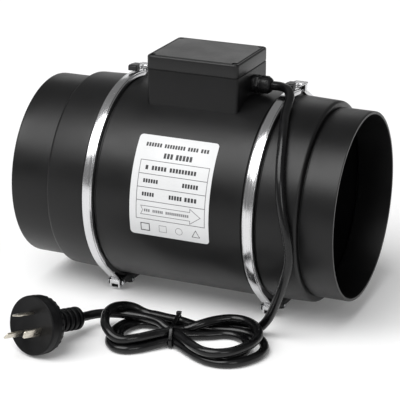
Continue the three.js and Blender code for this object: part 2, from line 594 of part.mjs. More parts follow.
const { waistHalf, waistTop, waistLow, height } = HANK;
const halfTie = TIE.width / 2;
const core = aroundWaist(waistHalf - GAP, waistLow, waistTop, -halfTie - 2, halfTie + 2);
const hankBlank = alongZ(hankOutline(0), 0.2, height);
const channel = aroundWaist(70, -20, 60, -halfTie - GAP, halfTie + GAP).subtract(core);
const tieOuter = aroundWaist(waistHalf + TIE.thickness, 0.3, waistTop + TIE.thickness + GAP, -halfTie, halfTie);
const tieHole = aroundWaist(waistHalf, waistLow - GAP, waistTop + GAP, -halfTie - 5, halfTie + 5);
place('cord_hank', hankBlank.subtract(channel), 'cord', 0);
place('cord_tie', tieOuter.subtract(tieHole), 'rubber', 0);

const aroundHank = alongZ(hankOutline(GAP), -5, height + GAP);
place('cord_drop', tube(DROP_ROUTE, CORD.radius, CORD.arcSteps, 26).subtract(aroundHank), 'cord', 0);
place('cord_tail', tube(TAIL_ROUTE, CORD.radius, CORD.arcSteps, 6).subtract(aroundHank), 'cord', 0);

// ---------------------------------------------------------------- mains plug
// The plug is built with its face at the origin and its lead leaving along +X.
const facing = new THREE.Vector3(...PLUG.facing).normalize();
const plugAcross = new THREE.Vector3(0, 0, 1).cross(facing).normalize();
const plugFrame = new THREE.Matrix4().makeBasis(
  facing.clone().negate(),
  plugAcross.clone().negate(),
  facing.clone().cross(plugAcross),
).setPosition(...PLUG.face);

function placeOnPlug(name, body, kind) {
  place(name, body, kind, 0);
  const mesh = fan.children.at(-1);
  mesh.applyMatrix4(plugFrame);
}

placeOnPlug('plug_body', revolved([
  [0, 0], [0, 28.6], [0.7, 29.6], [1.6, 30], [13.6, 29.9], [14.2, 28.9], [18.6, 28], [20.2, 26.5], [21.4, 23],
  [PLUG.depth, 13], [PLUG.depth, 0],
], 28), 'rubber');

function reliefProfile() {
  const start = PLUG.depth + GAP;
  const profile = [[start, 5.3], [start, 11.6]];
  const ribs = 5;
  const first = start + 2.6;
  const pitch = (PLUG.reliefEnd - 2 - first) / ribs;
  for (let i = 0; i < ribs; i += 1) {
    const x = first + i * pitch;
    profile.push([x, 12], [x + pitch * 0.62, 12], [x + pitch * 0.7, 9.4], [x + pitch * 0.92, 9.4]);
  }
  profile.push([PLUG.reliefEnd - 2.5, 12], [PLUG.reliefEnd - 0.6, 9], [PLUG.reliefEnd - 0.6, 5.3]);
  return profile;
}
placeOnPlug('plug_relief', revolved(reliefProfile(), 14), 'rubber');

// Three flat pins around the middle of the face: two stand across their radius, the earth along it.
function plugPin(radius, angle, across, length) {
  const pin = new THREE.BoxGeometry(length, across ? 2.2 : 8.6, across ? 8.6 : 2.2);
  pin.translate(-length / 2 - GAP, radius, 0);
  return solid(pin.rotateX(THREE.MathUtils.degToRad(angle)));
}
placeOnPlug('plug_pin_live', plugPin(12.6, 78, true, 23), 'brass');
placeOnPlug('plug_pin_neutral', plugPin(12.6, 194, true, 23), 'brass');
placeOnPlug('plug_pin_earth', plugPin(12.2, 310, false, 27), 'brass');

export default fan;
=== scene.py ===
"""Inline duct fan: finished surfaces, mains lead, floor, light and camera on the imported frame."""

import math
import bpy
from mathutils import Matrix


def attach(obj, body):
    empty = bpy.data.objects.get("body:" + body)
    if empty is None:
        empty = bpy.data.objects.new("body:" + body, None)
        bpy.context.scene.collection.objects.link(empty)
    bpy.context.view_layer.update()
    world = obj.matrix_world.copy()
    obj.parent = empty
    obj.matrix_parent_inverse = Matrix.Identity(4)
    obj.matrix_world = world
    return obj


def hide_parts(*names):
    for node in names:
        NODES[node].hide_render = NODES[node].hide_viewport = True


bl_info = {
    "name": "Inline duct fan",
    "version": (1, 0, 0),
    "blender": (4, 5, 0),
    "location": "3D View > Sidebar > Duct fan",
    "description": "Builds the finished surfaces of an inline duct fan on its packed frame",
    "category": "Object",
}

import bmesh
import bpy
from bpy.props import FloatProperty, FloatVectorProperty, IntProperty, PointerProperty
from mathutils import Matrix, Vector

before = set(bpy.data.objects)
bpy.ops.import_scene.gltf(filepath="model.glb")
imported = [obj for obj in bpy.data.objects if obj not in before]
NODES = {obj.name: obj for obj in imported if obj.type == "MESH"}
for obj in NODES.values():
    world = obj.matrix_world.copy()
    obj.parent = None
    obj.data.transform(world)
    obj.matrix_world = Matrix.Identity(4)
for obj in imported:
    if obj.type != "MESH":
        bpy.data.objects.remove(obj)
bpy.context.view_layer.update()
ENDS = {"inlet": -84.5, "outlet": 94.0}
AXIS = 120.5
TO_ROW = Matrix.Translation((0, 0, AXIS / 1000)) @ Matrix.Scale(0.001, 4)
TAU = 2 * math.pi


# ------------------------------------------------------------------ settings
class DuctSettings(bpy.types.PropertyGroup):
    """Sizes of the duct casing, in millimetres"""

    spigot: FloatProperty(name="Spigot radius", description="Outside radius of each spigot", default=99.0)
    section: FloatProperty(name="Section radius", description="Outside radius of the end sections", default=107.0)
    casing: FloatProperty(name="Casing radius", description="Outside radius of the motor casing", default=108.0)
    wall: FloatProperty(name="Wall", description="Wall thickness of the spigots", default=3.0)
    facets: IntProperty(name="Facets", description="Steps round the duct", default=224, min=48, max=512)
    blades: IntProperty(name="Blades", description="Blades on the impeller", default=7, min=3, max=13)
    vanes: IntProperty(name="Vanes", description="Guide vanes behind the impeller", default=7, min=3, max=13)


class ClampSettings(bpy.types.PropertyGroup):
    """Sizes of the clamp bands and their feet, in millimetres"""

    inner: FloatProperty(name="Inner radius", description="Radius under the band", default=110.5)
    outer: FloatProperty(name="Outer radius", description="Radius over the band", default=112.4)
    leaves: FloatProperty(
        name="Leaving angle", description="Angle from the crown where the band runs straight", default=138.0
    )


class LeadSettings(bpy.types.PropertyGroup):
    """Sizes of the mains lead"""

    diameter: FloatProperty(
        name="Diameter", description="Outside diameter of the lead", default=0.0095, unit="LENGTH", subtype="DISTANCE"
    )
    ribs: IntProperty(name="Relief ribs", description="Ribs on the plug's strain relief", default=6, min=3, max=9)


class FinishSettings(bpy.types.PropertyGroup):
    """Colours of the finishes"""

    plastic: FloatVectorProperty(
        name="Plastic", description="Moulded casing colour", subtype="COLOR", size=3, default=(0.0032, 0.0032, 0.0035)
    )
    steel: FloatVectorProperty(
        name="Steel", description="Stainless strip colour", subtype="COLOR", size=3, default=(0.66, 0.66, 0.67)
    )
    sheath: FloatVectorProperty(
        name="Sheath", description="Lead sheath colour", subtype="COLOR", size=3, default=(0.0022, 0.0022, 0.0025)
    )
    film: FloatVectorProperty(
        name="Label film", description="Rating plate colour", subtype="COLOR", size=3, default=(0.66, 0.665, 0.67)
    )


def duct():
    return bpy.context.scene.fan_duct


def clamp():
    return bpy.context.scene.fan_clamp


def lead():
    return bpy.context.scene.fan_lead


def finishes():
    return bpy.context.scene.fan_finish


# ------------------------------------------------------------------ shader expressions
class Sock:
    """An output of a shader tree. Arithmetic on it adds Math nodes."""

    def __init__(self, graph, socket):
        self.graph = graph
        self.socket = socket

    def _math(self, operation, *values):
        return self.graph.node("ShaderNodeMath", dict(enumerate(values)), operation=operation)

    def __add__(self, other):
        return self._math("ADD", self, other)

    def __mul__(self, other):
        return self._math("MULTIPLY", self, other)

    def spread(self, low, high, to_low=0.0, to_high=1.0):
        """The value moved from one range to another and held inside it."""
        values = {0: self, 1: low, 2: high, 3: to_low, 4: to_high}
        return self.graph.node("ShaderNodeMapRange", values, interpolation_type="SMOOTHSTEP")


class Finish:
    """A material and the tree behind it."""

    def __init__(self, name, **constants):
        self.material = bpy.data.materials.new(name)
        self.material.use_nodes = True
        self.tree = self.material.node_tree
        self.shader = next(n for n in self.tree.nodes if n.type == "BSDF_PRINCIPLED")
        for key, value in constants.items():
            self.set(key.replace("_", " ").title().replace("Ior", "IOR"), value)

    def feed(self, socket, value):
        """Links a socket to another node's output, or sets it to a constant."""
        if isinstance(value, Sock):
            self.tree.links.new(value.socket, socket)
        elif socket.type == "RGBA":
            socket.default_value = (*value, 1.0)
        else:
            socket.default_value = value

    def set(self, key, value):
        self.feed(self.shader.inputs[key], value)

    def node(self, kind, inputs=None, output=0, **settings):
        """Any other node, with its settings and inputs, as one of its outputs."""
        made = self.tree.nodes.new(kind)
        for key, value in settings.items():
            setattr(made, key, value)
        for key, value in (inputs or {}).items():
            self.feed(made.inputs[key], value)
        return Sock(self, made.outputs[output])

    def place(self, scale=(1, 1, 1)):
        """The place on the object, stretched by a scale."""
        spot = self.node("ShaderNodeTexCoord", output="Object")
        return self.node("ShaderNodeMapping", {"Vector": spot, "Scale": scale})

    def noise(self, where, scale, detail=3.0, rough=0.5):
        values = {"Vector": where, "Scale": scale, "Detail": detail, "Roughness": rough}
        return self.node("ShaderNodeTexNoise", values)

    def mix(self, factor, a, b):
        """Two colours mixed by a factor."""
        return self.node("ShaderNodeMix", {0: factor, 6: a, 7: b}, output=2, data_type="RGBA")

    def bump(self, height, distance):
        values = {"Height": height, "Distance": distance, "Strength": 1.0}
        self.set("Normal", self.node("ShaderNodeBump", values))


def moulded(name, colour, rough=0.36, grain=1500.0, depth=0.00006, specular=0.3):
    """Black moulded plastic: fine spark grain, soft cloudiness and a few rubbed, paler places."""
    f = Finish(name, specular_ior_level=specular)
    where = f.place()
    cloud = f.noise(where, 14.0, 4.0, 0.55)
    fine = f.noise(where, grain, 2.0, 0.6)
    rub = f.noise(where, 60.0, 5.0, 0.65).spread(0.56, 0.74)
    pale = tuple(c * 1.6 + 0.0015 for c in colour)
    f.set("Base Color", f.mix(rub * 0.5 + cloud.spread(0.35, 0.7) * 0.35, colour, pale))
    f.set("Roughness", cloud.spread(0.3, 0.7, rough - 0.05, rough + 0.06) + fine * 0.05)
    f.bump(fine, depth)
    return f.material


def rolled_steel(name, colour, rough=0.17, across=(700.0, 9.0, 9.0), scuff=0.35):
    """Bright rolled strip: fine lines along its length, wandering reflections and faint scuffs."""
    f = Finish(name, metallic=1.0, specular_ior_level=0.5)
    lines = f.noise(f.place(across), 1.0, 3.0, 0.6)
    marks = f.noise(f.place((40.0, 90.0, 90.0)), 3.0, 5.0, 0.65).spread(0.56, 0.74)
    dull = tuple(c * 0.8 for c in colour)
    f.set("Base Color", f.mix(marks * scuff, colour, dull))
    f.set("Roughness", lines.spread(0.3, 0.75, rough - 0.05, rough + 0.09) + marks * 0.08)
    f.bump(lines, 0.000015)
    return f.material


def coated_steel(name, colour, rough=0.4):
    """Black powder-coated steel with a light orange-peel."""
    f = Finish(name, specular_ior_level=0.5)
    where = f.place()
    peel = f.noise(where, 520.0, 2.0, 0.5)
    worn = f.noise(where, 150.0, 6.0, 0.7).spread(0.62, 0.78)
    f.set("Base Color", f.mix(worn * 0.6, colour, tuple(c + 0.05 for c in colour)))
    f.set("Roughness", peel.spread(0.3, 0.7, rough - 0.05, rough + 0.08) + worn * 0.1)
    f.bump(peel, 0.00012)
    return f.material


def soft_rubber(name, colour, rough=0.5, gloss=0.0):
    """Moulded rubber or vinyl: slight bloom, fine pitting and a soft shine."""
    f = Finish(name, specular_ior_level=0.18, coat_roughness=0.14)
    where = f.place()
    bloom = f.noise(where, 70.0, 5.0, 0.6)
    pits = f.noise(where, 900.0, 2.0, 0.5)
    f.set("Base Color", f.mix(bloom.spread(0.45, 0.75) * 0.6, colour, tuple(c * 2.2 + 0.003 for c in colour)))
    f.set("Roughness", bloom.spread(0.3, 0.7, rough - 0.06, rough + 0.07))
    f.set("Coat Weight", bloom.spread(0.3, 0.7, gloss, gloss * 0.8))
    f.bump(pits, 0.00004)
    return f.material


def label_film(name, colour):
    """White printed film, faintly toned and slightly rippled."""
    f = Finish(name, specular_ior_level=0.45)
    where = f.place()
    tone = f.noise(where, 35.0, 3.0, 0.5)
    fibre = f.noise(where, 1400.0, 2.0, 0.5)
    f.set("Base Color", f.mix(tone.spread(0.35, 0.7) * 0.5, colour, tuple(c * 0.93 for c in colour)))
    f.set("Roughness", tone.spread(0.3, 0.7, 0.36, 0.48))
    f.bump(tone * 2.0 + fibre * 0.3, 0.00003)
    return f.material


def printed_ink(name, colour):
    """Matt print with a fine uneven edge to its tone."""
    f = Finish(name, specular_ior_level=0.4)
    spots = f.noise(f.place(), 2200.0, 2.0, 0.5)
    f.set("Base Color", f.mix(spots.spread(0.35, 0.75) * 0.35, colour, tuple(c + 0.08 for c in colour)))
    f.set("Roughness", spots.spread(0.3, 0.7, 0.4, 0.55))
    return f.material


def pressed_brass(name, colour):
    """Bright nickelled brass blade with drawn lines and slightly dulled patches."""
    f = Finish(name, metallic=1.0)
    drawn = f.noise(f.place((1200.0, 60.0, 1200.0)), 1.0, 3.0, 0.6)
    dull = f.noise(f.place(), 160.0, 4.0, 0.6).spread(0.5, 0.72)
    f.set("Base Color", f.mix(dull * 0.7, colour, tuple(c * 0.6 for c in colour)))
    f.set("Roughness", drawn.spread(0.3, 0.7, 0.2, 0.36) + dull * 0.1)
    f.bump(drawn, 0.00003)
    return f.material


PALETTE = {}


def palette():
    """Every finish of the fan, made once."""
    if PALETTE:
        return PALETTE
    colours = finishes()
    plastic = tuple(colours.plastic)
    dark = tuple(c * 0.75 for c in plastic)
    PALETTE.update(
        casing=moulded("casing_plastic", tuple(c * 0.6 for c in plastic), specular=0.34),
        inner=moulded("rotor_plastic", tuple(c * 1.3 for c in plastic), rough=0.5),
        box=moulded("box_plastic", dark, grain=1100.0, depth=0.00009),
        lid=moulded("lid_plastic", dark, rough=0.34, grain=1100.0, depth=0.00009, specular=0.4),
        gland=moulded("gland_nylon", tuple(c * 0.8 for c in plastic), rough=0.34, grain=700.0),
        strap=rolled_steel("strap_steel", tuple(colours.steel)),
        wire=rolled_steel("wire_steel", tuple(colours.steel), 0.24, (300.0, 300.0, 300.0)),
        zinc=rolled_steel("zinc_steel", (0.58, 0.59, 0.6), 0.26, (260.0, 260.0, 260.0)),
        coated=coated_steel("coated_steel", (0.009, 0.009, 0.01)),
        motor=coated_steel("motor_paint", (0.035, 0.038, 0.042), 0.5),
        bumper=soft_rubber("bumper_rubber", (0.006, 0.006, 0.006), 0.62),
        sheath=soft_rubber("lead_sheath", tuple(colours.sheath), 0.3, 0.45),
        plug=soft_rubber("plug_vinyl", tuple(c * 1.2 for c in colours.sheath), 0.42, 0.0),
        film=label_film("label_film", tuple(colours.film)),
        ink=printed_ink("label_ink", (0.02, 0.02, 0.022)),
        line=printed_ink("label_line", (0.16, 0.16, 0.165)),
        brass=pressed_brass("pin_metal", (0.62, 0.58, 0.5)),
        pale=moulded("terminal_plastic", (0.55, 0.54, 0.5), rough=0.5, grain=600.0),
    )
    return PALETTE


# ------------------------------------------------------------------ shapes, in millimetres about the duct axis
def placed(name, data):
    """A new object in the scene, at the origin."""
    made = bpy.data.objects.new(name, data)
    bpy.context.scene.collection.objects.link(made)
    return made


def baked(holder):
    """An object's mesh with its curve settings and modifiers applied."""
    bpy.context.view_layer.update()
    return bpy.data.meshes.new_from_object(holder.evaluated_get(bpy.context.evaluated_depsgraph_get()))


def to_mesh(bm, name, weld=1e-4):
    """A welded mesh with its faces outward."""
    bmesh.ops.remove_doubles(bm, verts=bm.verts, dist=weld)
    bmesh.ops.recalc_face_normals(bm, faces=bm.faces)
    mesh = bpy.data.meshes.new(name)
    bm.to_mesh(mesh)
    bm.free()
    return mesh


def arc(cy, cz, radius, start, end, steps):
    """Points on a circle from one angle to another, in degrees."""
    angles = [math.radians(start + (end - start) * i / steps) for i in range(steps + 1)]
    return [(cy + radius * math.cos(a), cz + radius * math.sin(a)) for a in angles]


def softened(points, radius, steps=4):
    """A closed outline with each corner rounded. radius is one number, or one for each corner."""
    made = []
    count = len(points)
    for i, (x, y) in enumerate(points):
        corner = Vector((x, y))
        before = Vector(points[i - 1]) - corner
        after = Vector(points[(i + 1) % count]) - corner
        wanted = radius[i] if isinstance(radius, (list, tuple)) else radius
        if wanted <= 0:
            made.append((x, y))
            continue
        angle = before.angle(after, 0.0)
        reach = min(wanted / max(math.tan(angle / 2), 1e-6), before.length * 0.48, after.length * 0.48)
        a, b = corner + before.normalized() * reach, corner + after.normalized() * reach
        for k in range(steps + 1):
            t = k / steps
            p = a * (1 - t) ** 2 + corner * 2 * t * (1 - t) + b * t**2
            made.append((p.x, p.y))
    return made


def turned(profile, steps, name="turned", start=0.0, end=360.0):
    """A closed (x, radius) profile turned about the duct axis. Points on the axis are welded."""
    whole = abs(end - start) >= 360.0
    count = steps if whole else steps + 1
    bm = bmesh.new()
    rings = []
    for i in range(count):
        a = math.radians(start + (end - start) * i / steps)
        rings.append([bm.verts.new((x, r * math.sin(a), r * math.cos(a))) for x, r in profile])
    n = len(profile)
    for i in range(steps):
        one, two = rings[i], rings[(i + 1) % count]
        for j in range(n):
            k = (j + 1) % n
            if profile[j][1] < 1e-6 and profile[k][1] < 1e-6:
                continue
            bm.faces.new((one[j], one[k], two[k], two[j]))
    if not whole:
        bm.faces.new(rings[0])
        bm.faces.new(list(reversed(rings[-1])))
    return to_mesh(bm, name)


def lofted(rings, name="lofted", cap=True):
    """Closed rings of equal count joined in order."""
    bm = bmesh.new()
    made = [[bm.verts.new(p) for p in ring] for ring in rings]
    n = len(rings[0])
    for one, two in zip(made, made[1:]):
        for j in range(n):
            k = (j + 1) % n
            bm.faces.new((one[j], one[k], two[k], two[j]))
    if cap:
        bm.faces.new(made[0])
        bm.faces.new(list(reversed(made[-1])))
    return to_mesh(bm, name)


def add_line(curve, points, closed):
    """One straight-sided line of a curve."""
    spline = curve.splines.new("POLY")
    spline.points.add(len(points) - 1)
    for point, place in zip(spline.points, points):
        point.co = (*place, 1)
    spline.use_cyclic_u = closed


def curve_solid(curve):
    """A curve's solid, ready to edit. The curve itself goes."""
    holder = placed(curve.name, curve)
    mesh = baked(holder)
    bpy.data.objects.remove(holder)
    bpy.data.curves.remove(curve)
    bm = bmesh.new()
    bm.from_mesh(mesh)
    bpy.data.meshes.remove(mesh)
    return bm


def plate(outlines, x0, x1, edge=0.4):
    """Outlines in the Y-Z plane, the first one outside and the others holes, carried along X with soft edges."""
    curve = bpy.data.curves.new("plate", "CURVE")
    curve.dimensions = "2D"
    curve.fill_mode = "BOTH"
    curve.extrude = (x1 - x0) / 2 - edge
    curve.bevel_depth = edge
    curve.bevel_resolution = 2
    curve.offset = -edge
    for outline in outlines:
        add_line(curve, [(y, z, 0) for y, z in outline], True)
    bm = curve_solid(curve)
    bm.transform(Matrix(((0, 0, 1, (x0 + x1) / 2), (1, 0, 0, 0), (0, 1, 0, 0), (0, 0, 0, 1))))
    return to_mesh(bm, "plate", 2e-3)


def circle(cy, cz, radius, steps=24):
    """A closed circle, its first point not repeated."""
    return arc(cy, cz, radius, 0, 360 - 360 / steps, steps - 1)


def wire_loop(points, radius):
    """A round wire through points in space, joined end to end."""
    curve = bpy.data.curves.new("wire", "CURVE")
    curve.dimensions = "3D"
    curve.bevel_depth = radius
    curve.bevel_resolution = 3
    add_line(curve, points, True)
    return to_mesh(curve_solid(curve), "wire")


def moved(mesh, matrix):
    """The same mesh, moved."""
    mesh.transform(matrix)
    return mesh


def merged(name, meshes, slots=None):
    """Several meshes as one, each keeping the material slot given for it."""
    bm = bmesh.new()
    for i, mesh in enumerate(meshes):
        first = len(bm.faces)
        bm.from_mesh(mesh)
        bm.faces.ensure_lookup_table()
        for face in bm.faces[first:]:
            face.material_index = slots[i] if slots else 0
        bpy.data.meshes.remove(mesh)
    made = bpy.data.meshes.new(name)
    bm.to_mesh(made)
    bm.free()
    return made


def cut(mesh, *tools):
    """The mesh with other solids taken away."""
    body = placed("cut_body", mesh)
    holders = [placed("cut_tool", tool) for tool in tools]
    for holder in holders:
        modifier = body.modifiers.new("cut", "BOOLEAN")
        modifier.operation = "DIFFERENCE"
        modifier.solver = "EXACT"
        modifier.object = holder
    made = baked(body)
    discard(*holders, body)
    return made


def discard(*holders):
    """Objects that only served to make a mesh go, with their meshes."""
    for holder in holders:
        data = holder.data
        bpy.data.objects.remove(holder)
        bpy.data.meshes.remove(data)


def piece(name, mesh, body, materials, stands_for=(), smooth=38.0, matrix=None):
    """A finished piece from a mesh in millimetres: in place, shaded, riding on its body."""
    mesh.transform(matrix or TO_ROW)
    if mesh.materials:
        mesh.materials.clear()
    for material in materials if isinstance(materials, (list, tuple)) else [materials]:
        mesh.materials.append(material)
    mesh.shade_smooth()
    mesh.set_sharp_from_angle(angle=math.radians(smooth))
    made = placed(name, mesh)
    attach(made, body)
    if stands_for:
        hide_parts(*stands_for)
    return made


# ------------------------------------------------------------------ repeats by Geometry Nodes
def row_tree():
    """A node group that repeats an item: each copy is moved by Step and turned by Turn from the one before."""
    tree = bpy.data.node_groups.get("repeat_row")
    if tree:
        return tree
    tree = bpy.data.node_groups.new("repeat_row", "GeometryNodeTree")
    face = tree.interface
    face.new_socket("Geometry", in_out="INPUT", socket_type="NodeSocketGeometry")
    for label, kind in (
        ("Item", "NodeSocketObject"),
        ("Count", "NodeSocketInt"),
        ("Step", "NodeSocketVector"),
        ("Turn", "NodeSocketVector"),
        ("Finish", "NodeSocketMaterial"),
    ):
        face.new_socket(label, in_out="INPUT", socket_type=kind)
    face.new_socket("Geometry", in_out="OUTPUT", socket_type="NodeSocketGeometry")
    new = tree.nodes.new
    start, end = new("NodeGroupInput"), new("NodeGroupOutput")
    line, index = new("GeometryNodeMeshLine"), new("GeometryNodeInputIndex")
    item, copies = new("GeometryNodeObjectInfo"), new("GeometryNodeInstanceOnPoints")
    angle, solid = new("ShaderNodeVectorMath"), new("GeometryNodeRealizeInstances")
    coat = new("GeometryNodeSetMaterial")
    angle.operation = "SCALE"
    for source, output, target, entry in (
        (start, "Count", line, "Count"),
        (start, "Step", line, "Offset"),
        (start, "Item", item, "Object"),
        (start, "Turn", angle, 0),
        (index, 0, angle, "Scale"),
        (line, "Mesh", copies, "Points"),
        (item, "Geometry", copies, "Instance"),
        (angle, 0, copies, "Rotation"),
        (copies, "Instances", solid, "Geometry"),
        (solid, "Geometry", coat, "Geometry"),
        (start, "Finish", coat, "Material"),
        (coat, "Geometry", end, "Geometry"),
    ):
        tree.links.new(source.outputs[output], target.inputs[entry])
    return tree


def repeated(item_mesh, count, finish, step=(0, 0, 0), turn=(0, 0, 0)):
    """A mesh of count copies of an item."""
    tree = row_tree()
    item = placed("row_item", item_mesh)
    holder = placed("row_holder", bpy.data.meshes.new("row_holder"))
    row = holder.modifiers.new("row", "NODES")
    row.node_group = tree
    values = {"Item": item, "Count": count, "Step": step, "Turn": turn, "Finish": finish}
    for socket in tree.interface.items_tree:
        if socket.in_out == "INPUT" and socket.name in values:
            row[socket.identifier] = values[socket.name]
    made = baked(holder)
    discard(holder, item)
    return made


# ------------------------------------------------------------------ stage
class FAN_OT_stage(bpy.types.Operator):
    """Makes the floor, the lights and the camera"""

    bl_idname = "fan.stage"
    bl_label = "Stage"

    def execute(self, context):
        scene = context.scene
        scene.view_settings.view_transform = "Standard"
        floor_mesh = bpy.data.meshes.new("floor")
        reach = 9.0
        corners = [(-reach, -reach, 0), (reach, -reach, 0), (reach, reach, 0), (-reach, reach, 0)]
        floor_mesh.from_pydata(corners, [], [(0, 1, 2, 3)])
        floor = placed("floor", floor_mesh)
        paint = Finish("floor_paper", specular_ior_level=0.2)
        grain = paint.noise(paint.place(), 3.0, 2.0, 0.5)
        paint.set("Base Color", paint.mix(grain.spread(0.3, 0.7), (0.93, 0.93, 0.93), (0.95, 0.95, 0.95)))
        paint.set("Roughness", grain.spread(0.3, 0.7, 0.6, 0.7))
        paint.set("Emission Color", paint.mix(grain.spread(0.3, 0.7), (0.97, 0.97, 0.97), (1.0, 1.0, 1.0)))
        paint.set("Emission Strength", 0.09)
        floor_mesh.materials.append(paint.material)

        world = bpy.data.worlds.new("studio")
        scene.world = world
        world.use_nodes = True
        back = world.node_tree.nodes["Background"]
        back.inputs["Color"].default_value = (1.0, 1.0, 1.0, 1.0)
        back.inputs["Strength"].default_value = 0.23

        target = Vector((0.0, 0.0, 0.13))
        for name, place, size, power in (
            ("overhead", (-0.45, -1.6, 2.6), 0.0, 2.6),
            ("softbox_left", (-1.35, -1.25, 1.55), 0.9, 9.0),
            ("softbox_right", (1.5, -1.5, 1.1), 0.7, 6.5),
            ("softbox_back", (-0.75, 1.75, 0.85), 0.8, 1.6),
        ):
            light = bpy.data.lights.new(name, "AREA" if size else "SUN")
            if size:
                light.size = size
            else:
                light.angle = math.radians(48)
            light.energy = power
            lamp = placed(name, light)
            lamp.location = place
            lamp.rotation_mode = "QUATERNION"
            lamp.rotation_quaternion = (target - Vector(place)).to_track_quat("-Z", "Y")

        camera = bpy.data.cameras.new("camera")
        camera.sensor_width = 36.0
        camera.lens = 151.2
        camera.shift_x = -0.01047
        camera.shift_y = -0.04239
        camera.clip_start, camera.clip_end = 0.1, 30.0
        eye = placed("camera", camera)
        turn, rise, roll = math.radians(23.399), math.radians(19.467), math.radians(0.165)
        behind = Vector((math.sin(turn) * math.cos(rise), -math.cos(turn) * math.cos(rise), math.sin(rise)))
        eye.location = (0.6746, -1.5591, 0.721)
        eye.rotation_mode = "QUATERNION"
        level = (-behind).to_track_quat("-Z", "Y")
        eye.rotation_quaternion = level @ Matrix.Rotation(roll, 3, "Z").to_quaternion()
        scene.camera = eye
        return {"FINISHED"}


# ------------------------------------------------------------------ mains lead
# The lead from the gland down to the hank, and from the hank to the plug, in millimetres above the floor.
DROP_ROUTE = [
    (78.3, -4, 239.5), (89.4, -6.3, 239.9), (97.6, -11.9, 239.2), (103.2, -19.6, 235.9), (105.8, -31, 230),
    (108.5, -47, 222.6), (113.5, -64, 212.9), (118, -80, 199.5), (122, -94, 182.1), (126.5, -104.5, 161.9),
    (131.5, -110.3, 142.1), (136.5, -112.8, 123.5), (139.3, -113.2, 108.5), (139.8, -112.6, 93.5),
    (135.8, -110.5, 76.5), (130.3, -107, 60), (124, -103, 44), (117.5, -99.5, 29.5), (110.5, -97, 17.5),
    (101, -94.5, 8), (89, -93.5, 4.9), (75, -96, 4.9), (60, -100.5, 4.9), (47, -106, 5), (36, -112, 5.6),
]
TAIL_ROUTE = [
    (17, -136, 10.5),
    (8, -132.5, 13.6),
    (-4, -130, 14.4),
    (-16, -129.3, 14.4),
    (-27, -130, 14.4),
    (-36, -131.3, 14.5),
    (-45, -134.3, 14.7),
    (-53.5, -138.8, 14.9),
    (-60.5, -145, 15.1),
    (-65.2, -153, 15.6),
    (-68, -161.5, 17),
]
LOW, HIGH = 4.85, 14.35
TIE_LOW, TIE_HIGH = 6.9, 15.0
TIE_X, TIE_Y, TIE_TURN = 28, -138, 12
# Each half turn of the hank: side, reach, middle of its depth, height, (depth and height in the tie at its start,
# outermost depth), the same at its end, and the height of its tip.
HALF_TURNS = [
    (-1, 62, -149, LOW, (-118.5, TIE_LOW, -113), (-156.5, TIE_LOW, -190), LOW),
    (1, 96, -140, LOW, (-156.5, TIE_LOW, -181), (-123.2, TIE_HIGH, -103.5), LOW),
    (-1, 68, -149, HIGH, (-123.2, TIE_HIGH, -119), (-151.8, TIE_HIGH, -188), 26),
    (1, 88.5, -139, 16.2, (-151.8, TIE_HIGH, -184), (-128, TIE_LOW, -99), 16.2),
    (-1, 54, -149, LOW, (-128, TIE_LOW, -123), (-147, TIE_LOW, -176), LOW),
    (1, 79, -143, LOW, (-147, TIE_LOW, -175), (-137.5, TIE_LOW, -113), LOW),
]
# How far a strand has moved from its place in the tie towards its outermost depth, along the lobe.
SPREAD = {0.12: 0.18, 0.25: 0.45, 0.4: 0.78, 0.6: 1.0}
LATE_SPREAD = {3: {0.12: -0.07, 0.25: 0.16, 0.4: 0.64, 0.6: 1.0}, 5: {0.12: 0.02, 0.25: 0.27, 0.4: 0.53, 0.6: 0.92}}
ROUNDING = {0.8: 0.88, 0.94: 0.52, 1.0: 0.0}
LIFT = {0.12: 0.35, 0.25: 0.8}


def in_tie(depth):
    """Where along the duct a strand of the hank passes through the slanting tie."""
    return TIE_X - (depth - TIE_Y) * math.tan(math.radians(TIE_TURN))


def half_turn(index):
    """The points of one half turn of the hank, between two passes through the tie."""
    side, reach, middle, height, start, end, tip = HALF_TURNS[index]
    points = []
    for going, (depth, tie_height, outermost) in ((True, start), (False, end)):
        spread = SPREAD if going else LATE_SPREAD.get(index, SPREAD)
        leg = []
        for s in (0.12, 0.25, 0.4, 0.6, 0.8, 0.94, 1.0):
            x = in_tie(depth) * (1 - s) + (TIE_X + side * reach) * s
            if s in spread:
                y = depth + (outermost - depth) * spread[s]
            else:
                y = middle + (outermost - middle) * ROUNDING[s]
            lift = LIFT.get(s, 1.0)
            z = tie_height * (1 - lift) + height * lift
            z += (tip - height) * max(0.0, (s - 0.6) / 0.4)
            leg.append((x, y, z))
        points += leg if going else leg[-2::-1]
    return points


def lead_route():
    """The whole lead from the gland to the plug."""
    points = list(DROP_ROUTE)
    for i, turn in enumerate(HALF_TURNS):
        depth, height = turn[4][:2]
        points += [(in_tie(depth), depth, height), *half_turn(i)]
    points.append((in_tie(-137.5), -137.5, TIE_LOW))
    return [Vector(p) / 1000 for p in points + TAIL_ROUTE]


